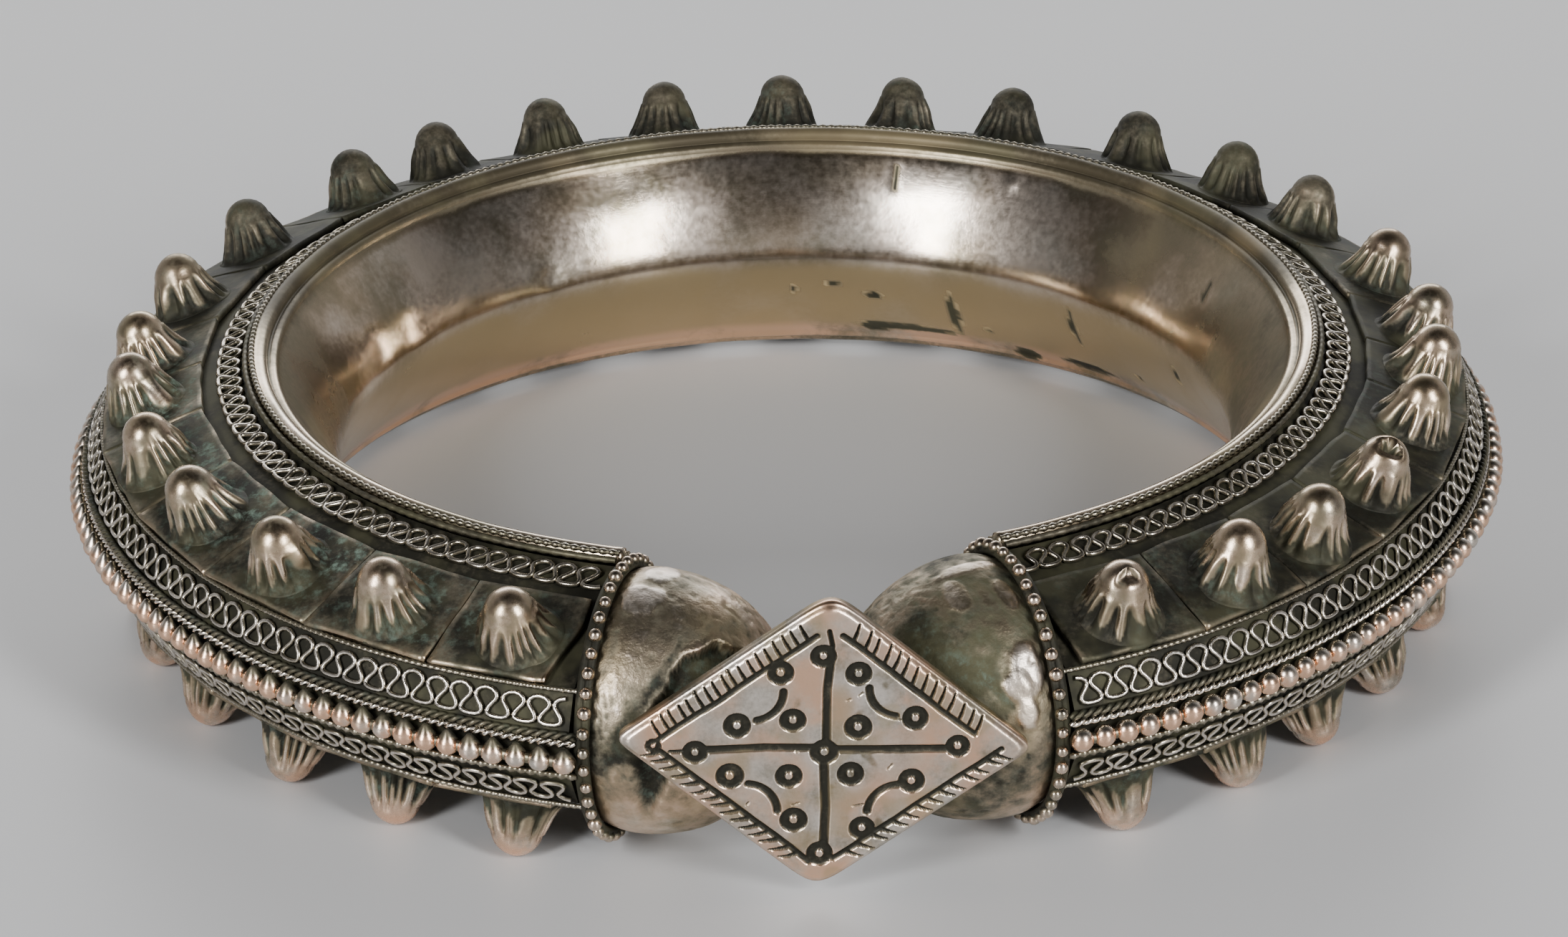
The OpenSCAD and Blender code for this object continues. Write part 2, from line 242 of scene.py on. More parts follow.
def set_mark(mesh, name, values):
    """Stores a number on each vertex, or one on them all, for the material to read."""
    mark = mesh.attributes.get(name) or mesh.attributes.new(name, "FLOAT", "POINT")
    values = np.broadcast_to(np.clip(values, 0, 1), len(mesh.vertices))
    mark.data.foreach_set("value", np.ascontiguousarray(values, dtype=np.float32))


def smooth_step(low, high, value):
    t = np.clip((np.asarray(value, float) - low) / (high - low), 0, 1)
    return t * t * (3 - 2 * t)


def ripple(co, size, seed=0):
    """Smooth noise of about -1 to 1 at each point, with bumps of the given size."""
    shift = Vector((seed * 7.31, seed * 3.17, seed * 5.73))
    return np.array([noise.noise(Vector(p) / size + shift) for p in co.tolist()])


def mesh_from(bm, name):
    mesh = bpy.data.meshes.new(name)
    bm.to_mesh(mesh)
    bm.free()
    return mesh


def place(mesh, name, finish, nodes):
    """Makes the finished piece, from millimetres round the hoop to metres in the frame."""
    set_points(mesh, (points_of(mesh) + np.array(HOOP)) * MM)
    mesh.polygons.foreach_set("use_smooth", [True] * len(mesh.polygons))
    mesh.materials.clear()
    mesh.materials.append(finish)
    mesh.name = name
    piece = bpy.data.objects.new(name, mesh)
    bpy.context.scene.collection.objects.link(piece)
    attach(piece, "root")
    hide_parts(*nodes)


def swept(outline, steps, start, end):
    """Spins a closed outline of (radius, height) points round Z and shuts its ends."""
    bm = bmesh.new()
    line = [bm.verts.new((r, 0, h)) for r, h in outline]
    edges = [bm.edges.new(pair) for pair in zip(line, line[1:] + line[:1])]
    bmesh.ops.rotate(bm, verts=line, cent=(0, 0, 0), matrix=Matrix.Rotation(start, 3, "Z"))
    bmesh.ops.spin(bm, geom=line + edges, cent=(0, 0, 0), axis=(0, 0, 1), angle=end - start,
                   steps=steps, use_merge=False)
    shut(bm)
    return bm


def shut(bm):
    """Fills the open ends and turns all faces outwards."""
    bmesh.ops.holes_fill(bm, edges=[e for e in bm.edges if e.is_boundary], sides=0)
    bmesh.ops.recalc_face_normals(bm, faces=bm.faces)


def square_sheet(cells, top, thick):
    """A closed sheet of 2 by 2 units, its upper face finely divided."""
    bm = bmesh.new()
    bmesh.ops.create_grid(bm, x_segments=cells, y_segments=cells, size=1)
    bmesh.ops.translate(bm, verts=bm.verts, vec=(0, 0, top))
    out = bmesh.ops.extrude_edge_only(bm, edges=[e for e in bm.edges if e.is_boundary])
    low = [v for v in out["geom"] if isinstance(v, bmesh.types.BMVert)]
    bmesh.ops.translate(bm, verts=low, vec=(0, 0, -thick))
    shut(bm)
    return bm


def turned(profile, steps):
    """Spins a line of (radius, height) points fully round Z, closed at its poles."""
    bm = bmesh.new()
    line = [bm.verts.new((r, 0, h)) for r, h in profile]
    edges = [bm.edges.new(p) for p in zip(line, line[1:])]
    bmesh.ops.spin(bm, geom=line + edges, cent=(0, 0, 0), axis=(0, 0, 1), angle=math.tau,
                   steps=steps, use_merge=True)
    bmesh.ops.remove_doubles(bm, verts=bm.verts, dist=1e-4)
    bmesh.ops.recalc_face_normals(bm, faces=bm.faces)
    return bm


def drawn_wire(lines, radius, swell=None):
    """Six-sided wires along lines of points. swell gives the thickness at each point."""
    curve = bpy.data.curves.new("wire", "CURVE")
    curve.dimensions = "3D"
    curve.bevel_depth = radius
    curve.bevel_resolution = 1
    curve.use_fill_caps = True
    curve.twist_mode = "MINIMUM"
    for k, points in enumerate(lines):
        spline = curve.splines.new("POLY")
        spline.points.add(len(points) - 1)
        co = np.ones((len(points), 4))
        co[:, :3] = points
        spline.points.foreach_set("co", co.ravel())
        if swell is not None:
            spline.points.foreach_set("radius", np.asarray(swell[k], float))
    holder = bpy.data.objects.new("wire", curve)
    bpy.context.scene.collection.objects.link(holder)
    bpy.context.view_layer.update()
    shaped = holder.evaluated_get(bpy.context.evaluated_depsgraph_get())
    mesh = bpy.data.meshes.new_from_object(shaped)
    bpy.data.objects.remove(holder)
    bpy.data.curves.remove(curve)
    return mesh


def round_hoop(hoop, radii, heights, count=None):
    """Points round the hoop at given radii and heights, between the body's two ends."""
    n = count or len(radii)
    a = np.linspace(*body_span(hoop), n)
    radii, heights = np.broadcast_to(radii, n), np.broadcast_to(heights, n)
    return np.stack([radii * np.cos(a), radii * np.sin(a), heights], 1)


def joined(meshes):
    """One mesh from several, their marks kept."""
    bm = bmesh.new()
    for mesh in meshes:
        bm.from_mesh(mesh)
        bpy.data.meshes.remove(mesh)
    return mesh_from(bm, "joined")


# Finishes
def node_tools(tree):
    """Functions that add a node of one kind to a tree and give back its result."""

    def add(kind, result, **sockets):
        node = tree.nodes.new(kind)
        for key, value in sockets.items():
            feed(node.inputs[key.replace("_", " ")], value)
        return node.outputs[result]

    def feed(socket, value):
        if hasattr(value, "is_output"):
            tree.links.new(value, socket)
        else:
            socket.default_value = value

    def maths(operation, *values, clamp=False):
        node = tree.nodes.new("ShaderNodeMath")
        node.operation, node.use_clamp = operation, clamp
        for socket, value in zip(node.inputs, values):
            feed(socket, value)
        return node.outputs[0]

    def mixed(amount, a, b):
        node = tree.nodes.new("ShaderNodeMix")
        node.data_type = "RGBA"
        feed(node.inputs["Factor"], amount)
        for key, colour in (("A", a), ("B", b)):
            feed(node.inputs[key], colour if hasattr(colour, "is_output") else (*colour, 1))
        return node.outputs["Result"]

    def stepped(value, low, high):
        result = add("ShaderNodeMapRange", "Result", Value=value, From_Min=low, From_Max=high)
        result.node.interpolation_type = "SMOOTHSTEP"
        return result

    return add, maths, mixed, stepped


def silver(name, settings, tone=(0.0, 1.0), shine=(0.22, 0.42), pits=0.15, pit_size=0.35,
           green=0.0, peach=0.0, straw_and_reflection=0.0, olive=0.3, patch=2.6, scratches=0.0):
    """Worn silver whose wear mark runs from dark (0) to bright (1): from old tarnish to rubbed
    bright metal, and in places from painted shade to painted highlight and reflection.

    The blush, straw and green marks say where the coppery blush, the yellow tarnish and the
    verdigris lie; the blush and straw marks also hold painted warm reflections of the floor. tone
    and shine give the tone's range and the roughness of bright metal and of dark metal, patch and
    pit_size the size of the stains and the pits."""
    finish = bpy.data.materials.new(name)
    finish.use_nodes = True
    tree = finish.node_tree
    add, maths, mixed, stepped = node_tools(tree)
    shader = tree.nodes["Principled BSDF"]
    shader.inputs["Specular IOR Level"].default_value = 0.2
    surface = add("ShaderNodeTexCoord", "Object")

    def speckle(size, detail, rough=0.6):
        return add("ShaderNodeTexNoise", "Fac", Vector=surface, Scale=1 / (size * MM),
                   Detail=detail, Roughness=rough)

    def uneven(value, noise_value, amount, clamp=False):
        swing = maths("MULTIPLY", maths("SUBTRACT", noise_value, 0.5), amount)
        return maths("ADD", value, swing, clamp=clamp)

    def mark(label):
        fac = add("ShaderNodeAttribute", "Fac")
        fac.node.attribute_name = label
        return fac

    patches, stains, grain = speckle(patch, 5), speckle(patch * 1.7, 3), speckle(pit_size, 3)
    level = maths("MULTIPLY_ADD", mark("wear_and_light"), tone[1] - tone[0], tone[0])
    level = uneven(uneven(level, patches, 0.5), grain, 0.35, clamp=True)
    colour = mixed(stepped(level, 0.0, 0.5), settings.dark, settings.dull)
    colour = mixed(stepped(level, 0.45, 1.0), colour, settings.bright)
    tarnish_and_shade = maths("SUBTRACT", 1.0, level, clamp=True)
    if olive:
        film = maths("MULTIPLY", stepped(stains, 0.42, 0.62), maths("MULTIPLY", tarnish_and_shade, olive),
                     clamp=True)
        colour = mixed(film, colour, settings.olive)
    if peach:
        blush_and_reflection = maths("MULTIPLY", stepped(patches, 0.30, 0.60),
                      maths("MULTIPLY", mark("blush_and_reflection"), peach))
        blush_and_reflection = maths("MULTIPLY", blush_and_reflection, stepped(level, 0.2, 0.7), clamp=True)
        colour = mixed(blush_and_reflection, colour, settings.peach)
    if straw_and_reflection:
        colour = mixed(maths("MULTIPLY", mark("straw_and_reflection"), straw_and_reflection, clamp=True), colour, settings.straw_and_reflection)
    rough = maths("MULTIPLY_ADD", stepped(level, 0.05, 0.6), shine[0] - shine[1], shine[1])
    rough = uneven(rough, grain, 0.12)
    # Tarnish and dirt are matt, so the metal shows less through them; it is dulled in the same way
    # where the level is low from painted shade
    metal = maths("ADD", maths("MULTIPLY", stepped(level, 0.0, 0.45), 0.6), 0.4)
    if green:
        salts = maths("MULTIPLY", stepped(speckle(0.9, 7, 0.72), 0.46, 0.72), mark("green"))
        salts = maths("MULTIPLY", salts, maths("MULTIPLY", tarnish_and_shade, green), clamp=True)
        colour = mixed(salts, colour, settings.verdigris)
        rough = maths("ADD", rough, maths("MULTIPLY", salts, 0.4))
        metal = maths("MULTIPLY", metal, maths("SUBTRACT", 1.0, maths("MULTIPLY", salts, 0.85)))
    height = grain
    if scratches:
        # Fine lines that run round the hoop
        stretched = add("ShaderNodeMapping", "Vector", Vector=surface, Scale=(900, 900, 9000))
        lines = add("ShaderNodeTexNoise", "Fac", Vector=stretched, Scale=1.0, Detail=2.0)
        height = maths("ADD", height, maths("MULTIPLY", lines, scratches))
    bump = add("ShaderNodeBump", "Normal", Strength=pits, Distance=0.05 * MM, Height=height)
    for socket, value in (("Base Color", colour), ("Metallic", metal), ("Roughness", rough),
                          ("Normal", bump)):
        tree.links.new(value, shader.inputs[socket])
    return finish


def plain(name, colour, rough):
    finish = bpy.data.materials.new(name)
    finish.use_nodes = True
    shader = finish.node_tree.nodes["Principled BSDF"]
    shader.inputs["Base Color"].default_value = (*colour, 1)
    shader.inputs["Roughness"].default_value = rough
    return finish


# Shell
class BANGLE_OT_shell(bpy.types.Operator):
    """Gives the frame's own shell its tarnished sheet"""

    bl_idname = "bangle.shell"
    bl_label = "Outer shell"

    def execute(self, context):
        finish = silver("tarnished_sheet", context.scene.bangle_silver, tone=(0.02, 0.3),
                        shine=(0.45, 0.65), olive=0.4)
        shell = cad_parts["outer_shell"]
        shell.data.materials.clear()
        shell.data.materials.append(finish)
        return {"FINISHED"}


# Inner band
# Dents in its wall: degrees round the hoop, height, depth, width, tallness
DENTS = ((121, 1.2, 0.10, 1.1, 0.9), (94, 3.2, 0.06, 1.8, 1.4), (57.3, 6.0, -0.10, 0.35, 0.35),
         (66, 2.0, 0.06, 2.2, 1.4), (110, 5.5, 0.05, 3.0, 1.0), (40, 3.0, 0.12, 2.4, 2.0),
         (146, 1.4, 0.12, 1.5, 1.1), (154, 1.6, 0.10, 1.3, 1.0), (24, 3.0, 0.10, 2.0, 1.5))
# Cracks and pits in it: degrees, height, length along the hoop, length up and down, darkness
CRACKS = (
    (71.5, -5.9, 3.3, 0.33, 1.0), (75.5, -5.9, 1.1, 0.48, 1.0), (64.3, -3.9, 0.38, 1.9, 1.0),
    (45.0, -2.4, 0.32, 1.5, 1.0), (55.4, -6.7, 0.9, 0.45, 0.95), (46.0, -6.3, 2.2, 0.34, 0.8),
    (72.6, 5.4, 0.30, 0.8, 0.8), (20.6, 4.3, 0.3, 0.8, 0.6), (24.0, -2.2, 0.4, 0.9, 0.5),
    (75.3, -2.8, 0.9, 0.45, 0.6), (80.5, -1.9, 0.9, 0.4, 0.5), (86.0, -2.4, 0.45, 0.6, 0.5),
    (36.0, -5.2, 0.5, 0.4, 0.5), (60.0, -5.0, 0.4, 0.3, 0.5))


class BANGLE_OT_inner_band(bpy.types.Operator):
    """Spins the bulging inner sheet with its rolled lips, and dents it"""

    bl_idname = "bangle.inner_band"
    bl_label = "Inner band"

    def execute(self, context):
        hoop, metal = context.scene.bangle_hoop, context.scene.bangle_silver
        lip_r, lip_h = hoop.lip_radius / MM, hoop.lip_height / MM
        ridge_r = hoop.ridge_radius / MM
        # Radii of the lip's roll and of the bead at its foot, and where the wall meets them
        roll, bead = 0.58, 0.37
        roll_h, wall_h = lip_h - roll, lip_h - roll - 0.32
        wall_top = lip_r - roll - 0.5
        thick = 0.8

        def wall_at(level):
            return ridge_r + (wall_top - ridge_r) * np.clip(np.abs(level) / wall_h, 0, 1) ** 1.5

        wall = [(wall_at(h), h) for h in np.linspace(0, wall_h - 0.25, 28)]
        small = [(wall_top + 0.2 + bead * math.cos(a), wall_h - 0.1 + bead * math.sin(a))
                 for a in np.radians(np.linspace(190, 40, 6))]
        lip = [(lip_r + roll * math.cos(a), roll_h + roll * math.sin(a))
               for a in np.radians(np.linspace(186, -50, 12))]
        behind = [(r + thick, h) for r, h in wall[-2::-9]]
        half = wall + small + lip + behind
        outline = [(r, -h) for r, h in reversed(half[1:])] + half[:-1]
        mesh = mesh_from(swept(outline, 500, *body_span(hoop, 0.6)), "inner_band")
        co = points_of(mesh)
        angle = np.arctan2(co[:, 1], co[:, 0])
        radius, height = radius_of(co), co[:, 2].copy()
        on_wall = (1 - smooth_step(0.1, 0.5, radius - wall_at(height))) * smooth_step(
            7.1, 6.3, np.abs(height))
        push = 0.07 * ripple(co, 10, 1) + 0.022 * ripple(co, 3.5, 2) + 0.006 * ripple(co, 1.2, 3)
        for turn, level, deep, wide, tall in DENTS:
            away = np.hypot((angle - math.radians(turn)) * radius / wide, (height - level) / tall)
            push = push + deep * np.exp(-away ** 2)
        cracks, ragged = 0 * radius, ripple(co, 0.5, 6)
        for turn, level, long, tall, dark in CRACKS:
            away = np.hypot((angle - math.radians(turn)) * radius / long, (height - level) / tall)
            cracks = np.maximum(cracks, dark * np.exp(-(away + 0.15 * ragged) ** 2))
        cracks = smooth_step(0.2, 0.5, cracks)
        push = push + 0.05 * cracks
        radius = radius + push * on_wall
        # The lip waves a little up and down
        ring = np.stack([np.cos(angle) * 34, np.sin(angle) * 34, height * 0], 1)
        wavy = np.maximum(0.05 * ripple(ring, 4, 4), -0.04)
        on_lip = smooth_step(wall_top + 0.3, lip_r, radius)
        co[:, 0], co[:, 1] = radius * np.cos(angle), radius * np.sin(angle)
        co[:, 2] = height - np.sign(height) * wavy * on_lip
        set_points(mesh, co)
        crest = smooth_step(0.35, 0.0, np.hypot(radius - lip_r, np.abs(height) - lip_h))
        seam = np.hypot(radius - (wall_top + 0.5), np.abs(height) - 7.3)
        seam = np.exp(-(seam / 0.12) ** 2)
        below, back = smooth_step(0.6, -1.0, height), smooth_step(-5, 12, co[:, 1])
        upper_back = back * (1 - below)
        # Painted reflections: the wall is brightest at the back, where the soft lights reflect,
        # darker at the left and right ends of its upper half, and lighter on its lower half, where
        # it reflects the floor; seams and cracks are dark
        wear_and_light = 0.46 + 0.28 * ripple(co, 6, 5) + 0.14 * ripple(co, 2.2, 7) + 0.32 * upper_back
        wear_and_light += 0.20 * below - 0.9 * seam - 2.2 * cracks
        wear_and_light -= 0.30 * smooth_step(22, 28, np.abs(co[:, 0] + 3)) * (1 - below)
        # The lips are dull at the back, above all the upper one
        lip_wear = (0.46 + 0.14 * ripple(co, 5, 8) + 0.22 * crest * (1 - back) - 0.6 * seam
                    - 0.34 * back * (1 - 0.8 * below))
        wear_and_light = np.where(radius > wall_top - 0.1, lip_wear, wear_and_light)
        wear_and_light *= 1 - 0.6 * upper_back * smooth_step(wall_top - 0.6, wall_top - 0.15, radius)
        set_mark(mesh, "wear_and_light", wear_and_light)
        # Painted warm reflection of the floor: blush along the lower edge and straw over the lower
        # half; the rest of the straw is thin tarnish
        set_mark(mesh, "blush_and_reflection", 0.15 + 0.85 * smooth_step(-5.2, -6.1, height))
        yellow = below * (0.85 + 0.25 * ripple(co, 4, 9)) * smooth_step(-6.5, -5.5, height)
        yellow += 0.10 + 0.2 * smooth_step(0.1, 0.5, ripple(co, 7, 11))
        set_mark(mesh, "straw_and_reflection", yellow * (1 - smooth_step(0.3, 0.8, cracks)))
        finish = silver("polished_band", metal, shine=(0.19, 0.48), pits=0.10, pit_size=0.5,
                        peach=1.2, straw_and_reflection=0.95, olive=0.4, patch=5.0, scratches=0.3)
        place(mesh, "inner_band_silver", finish, ["inner_band"])
        return {"FINISHED"}


# Domed ends
# Their largest radius, where it lies and where the foot lies along the axis, and how far the
# tip is from the widest place
DOME_R, DOME_WIDEST, DOME_FOOT, DOME_LONG = 7.8, 1.6, -0.45, 8.6
# The collar's beads: how many, their ring's radius and their own
COLLAR_BEADS, COLLAR_RING, COLLAR_BEAD = 44, 8.16, 0.40


def dome_frame(hoop, side):
    """Matrix from a dome's own axis (Z, from its collar to its tip) to the hoop."""
    core = hoop.core_radius / MM
    return (Matrix.Rotation(side * hoop.collar_angle, 4, "Z") @ Matrix.Translation((0, -core, 0))
            @ Matrix.Rotation(-side * math.pi / 2, 4, "Y"))


def dome_radius(s):
    """A dome's radius at a distance from its collar."""
    if s < DOME_WIDEST:
        return DOME_R - 0.6 * ((DOME_WIDEST - s) / (DOME_WIDEST - DOME_FOOT)) ** 2
    return DOME_R * math.sqrt(max(0, 1 - ((s - DOME_WIDEST) / DOME_LONG) ** 2))


def dome_damage(co, s, turn, side):
    """Lift, brightness and crust of the tears, solder flakes and scorch marks on one dome.

    s is the distance from the collar, turn the angle from outwards towards the top."""
    arc = np.maximum(radius_of(co), 1)
    fine, coarse = ripple(co, 0.35, 90 + side), ripple(co, 1.1, 92 + side)

    def blot(at_s, at_turn, long, wide, edge=0.35):
        away = np.hypot((s - at_s) / long, (turn - at_turn) * np.radians(arc) / wide)
        return smooth_step(1 + edge, 1 - edge, away + 0.30 * coarse + 0.12 * fine)

    lump, bright, crust = 0 * s, 0 * s, 0 * s
    if side < 0:
        # The sheet is torn: below a ragged edge it is pressed in and crusted, and painted dark as
        # shade in the hollow
        edge_turn = np.interp(s, (2.6, 3.4, 3.9, 4.4, 4.6, 5.1, 5.85, 6.2, 6.6, 7.5, 8.3, 9.2),
                              (8, 18, 27, 35, 42, 50, 55, 60, 64, 66, 68, 72))
        below = (edge_turn - turn) * np.radians(arc) + 0.16 * fine + 0.16 * coarse
        span = smooth_step(2.4, 3.6, s) * smooth_step(9.6, 8.6, s)
        cavity = smooth_step(-0.08, 0.22, below) * span * smooth_step(7.5, 5.0, below)
        lump = lump - 0.80 * cavity + 0.05 * np.exp(-((below + 0.22) / 0.28) ** 2) * span
        bright = bright - 0.9 * cavity - 0.30 * np.exp(-((below + 1.5) / 0.9) ** 2) * span
        # Painted shade near the collar dims the soft light's reflection there
        bright = bright - 0.32 * blot(1.3, 15, 2.2, 5.0, 0.8)
        crust = crust + 0.35 * cavity
        flake = blot(1.9, 76, 1.3, 1.2, 0.14) + 0.9 * blot(2.2, 100, 1.0, 1.6, 0.14)
        scars = blot(1.2, 22, 0.8, 2.0) + blot(2.2, -8, 1.2, 0.8)
        lump = lump + 0.10 * flake + 0.05 * scars * fine
        bright = bright + 0.42 * flake + 0.30 * scars + 0.30 * scars * fine
    else:
        # Solder has flaked at the top and melted at the side, and a seam is scorched
        flake = (blot(2.5, 92, 1.9, 0.6, 0.16) + blot(3.9, 78, 0.7, 1.4, 0.16)
                 + blot(1.2, 70, 0.6, 1.3, 0.16))
        melt = blot(1.5, 33, 0.9, 1.5) + blot(2.4, 26, 0.8, 0.9) + blot(1.9, 14, 0.6, 0.9)
        scorch = blot(6.5, 58, 1.4, 2.6, 0.6) + 0.9 * blot(5.2, 35, 1.6, 1.1, 0.6)
        seam = np.exp(-((turn - np.interp(s, (2.4, 3.2, 4.2, 5.2), (18, 24, 35, 43))) / 3.0) ** 2)
        seam = seam * smooth_step(2.2, 3.0, s) * smooth_step(6.0, 4.6, s)
        lump = lump + 0.08 * flake + 0.20 * melt + 0.06 * melt * fine - 0.15 * seam
        bright = bright + 0.40 * flake + 0.75 * melt + 0.25 * melt * fine
        bright = bright - 0.45 * scorch - 0.35 * seam
        crust = crust + 0.5 * seam + 0.3 * scorch
    return lump, bright, crust


class BANGLE_OT_domes(bpy.types.Operator):
    """Spins the two hollow domes, dents and pits them and leaves solder on them"""

    bl_idname = "bangle.domes"
    bl_label = "Domed ends"

    def execute(self, context):
        hoop, metal = context.scene.bangle_hoop, context.scene.bangle_silver
        finish = silver("dome_sheet", metal, shine=(0.38, 0.64), pits=0.7, pit_size=0.24,
                        green=0.8, peach=0.5, straw_and_reflection=0.7, olive=0.6, patch=3.4)
        for side, name in ((-1, "left"), (1, "right")):
            stations = list(np.linspace(DOME_FOOT, DOME_WIDEST, 20)) + [
                DOME_WIDEST + DOME_LONG * math.sin(a) for a in np.linspace(0, math.pi / 2, 80)[1:]]
            mesh = mesh_from(turned([(dome_radius(s), s) for s in stations], 240), "dome")
            co = points_of(mesh)
            s = co[:, 2].copy()
            turn = np.degrees(np.arctan2(side * co[:, 0], -co[:, 1]))
            outward = co - np.array([0, 0, 1]) * np.minimum(s, 3.0)[:, None]
            outward /= np.linalg.norm(outward, axis=1)[:, None]
            push = 0.12 * ripple(co, 5, 10 + side) + 0.035 * ripple(co, 1.7, 12 + side)
            rough_end = smooth_step(3.5, 6.5, s) * smooth_step(20, 60, turn)
            pits = np.clip(ripple(co, 0.42, 14 + side) - 0.18 + 0.18 * rough_end, 0, 1) * 0.13
            wear_and_light = 0.35 + 0.23 * ripple(co, 3.2, 16 + side) + 0.24 * ripple(co, 0.8, 19 + side)
            wear_and_light += -2.4 * pits + 0.20 * rough_end - 0.14 * side
            straw_and_reflection = 0.5 * smooth_step(0.0, 0.5, ripple(co, 4.0, 18 + side))
            # The lower side is painted straw-tinted, as a warm reflection of the floor
            straw_and_reflection += 0.4 * smooth_step(0, -30, turn)
            lump, bright, crust = dome_damage(co, s, turn, side)
            push, wear_and_light = push + lump, wear_and_light + bright
            co += outward * (push * smooth_step(-0.4, 0.6, s) - pits)[:, None]
            set_points(mesh, co)
            # Painted reflection of the floor: the lower side near the collar is lighter
            set_mark(mesh, "wear_and_light", wear_and_light + 0.30 * smooth_step(-5, -40, turn) * smooth_step(6, 2, s))
            set_mark(mesh, "green", 0.2 + crust)
            set_mark(mesh, "straw_and_reflection", straw_and_reflection * smooth_step(0.1, 0.5, wear_and_light))
            # Peach on the lower side is painted warm reflection of the floor; on the rough end it
            # is blush
            set_mark(mesh, "blush_and_reflection", 0.3 + smooth_step(10, -30, turn) + 0.5 * rough_end)
            mesh.transform(dome_frame(hoop, side))
            place(mesh, name + "_dome", finish, [name + "_terminal"])
        return {"FINISHED"}


# Collars
def beads(centres, radius, across, rows, uneven, seed):
    """Round beads at the given centres, each a little larger, smaller or out of line."""
    rng = random.Random(seed)
    bm = bmesh.new()
    for centre in centres:
        size = radius * (1 + uneven * rng.uniform(-1, 1))
        spin = Matrix.Rotation(rng.uniform(0, math.tau), 4, "Z") @ Matrix.Rotation(
            rng.uniform(0, math.pi), 4, "X")
        shift = Vector([rng.uniform(-1, 1) * uneven * radius * 0.7 for _ in range(3)])
        bmesh.ops.create_uvsphere(bm, u_segments=across, v_segments=rows, radius=size,
                                  matrix=Matrix.Translation(Vector(centre) + shift) @ spin)
    return bm


class BANGLE_OT_collars(bpy.types.Operator):
    """Sets a ring of small beads on a wire where each dome meets the body"""

    bl_idname = "bangle.collars"
    bl_label = "Beaded collars"

    def execute(self, context):
        hoop, metal = context.scene.bangle_hoop, context.scene.bangle_silver
        finish = silver("collar_beads", metal, shine=(0.24, 0.6), pits=0.15, peach=0.3)
        for side, name in ((-1, "left"), (1, "right")):
            turns = [math.tau * (k + 0.5) / COLLAR_BEADS for k in range(COLLAR_BEADS)]
            centres = [(COLLAR_RING * math.cos(t), COLLAR_RING * math.sin(t), -0.02)
                       for t in turns]
            mesh = mesh_from(beads(centres, COLLAR_BEAD, 12, 9, 0.12, 20 + side), "collar")
            outside = smooth_step(8.0, 8.35, radius_of(points_of(mesh)))
            set_mark(mesh, "wear_and_light", 0.05 + 0.62 * outside)
            set_mark(mesh, "blush_and_reflection", 1.0)
            parts = [mesh]
            # A dark wire under the beads, and another that closes the joint with the body
            for at_r, at_s, thick in ((7.85, 0, 0.27), (7.72, -0.36, 0.36)):
                ring = [(at_r + thick * math.cos(a), at_s + thick * math.sin(a))
                        for a in np.linspace(0, math.tau, 9)]
                wire = mesh_from(turned(ring, 96), "collar_wire")
                set_mark(wire, "wear_and_light", 0.02)
                parts.append(wire)
            mesh = joined(parts)
            mesh.transform(dome_frame(hoop, side))
            place(mesh, name + "_collar_beads", finish, [name + "_collar"])
        return {"FINISHED"}


# Bosses
def boss_profile(tip_r):
    """Radius and height of a boss from its crown to its foot."""
    crown_height, foot_r = SHEET + 2.08, 2.8
    crown = [(tip_r * math.cos(a), crown_height + tip_r * math.sin(a))
             for a in np.radians(np.linspace(90, 8, 7))]
    heights = np.linspace(2.62, 0.42, 12)
    radii = np.interp(heights, (0.42, 0.7, 1.2, 1.8, 2.7), (2.62, 2.42, 2.19, 1.97, 1.66))
    return crown + list(zip(radii, heights)) + [(foot_r, 0.39), (foot_r, 0.15)]


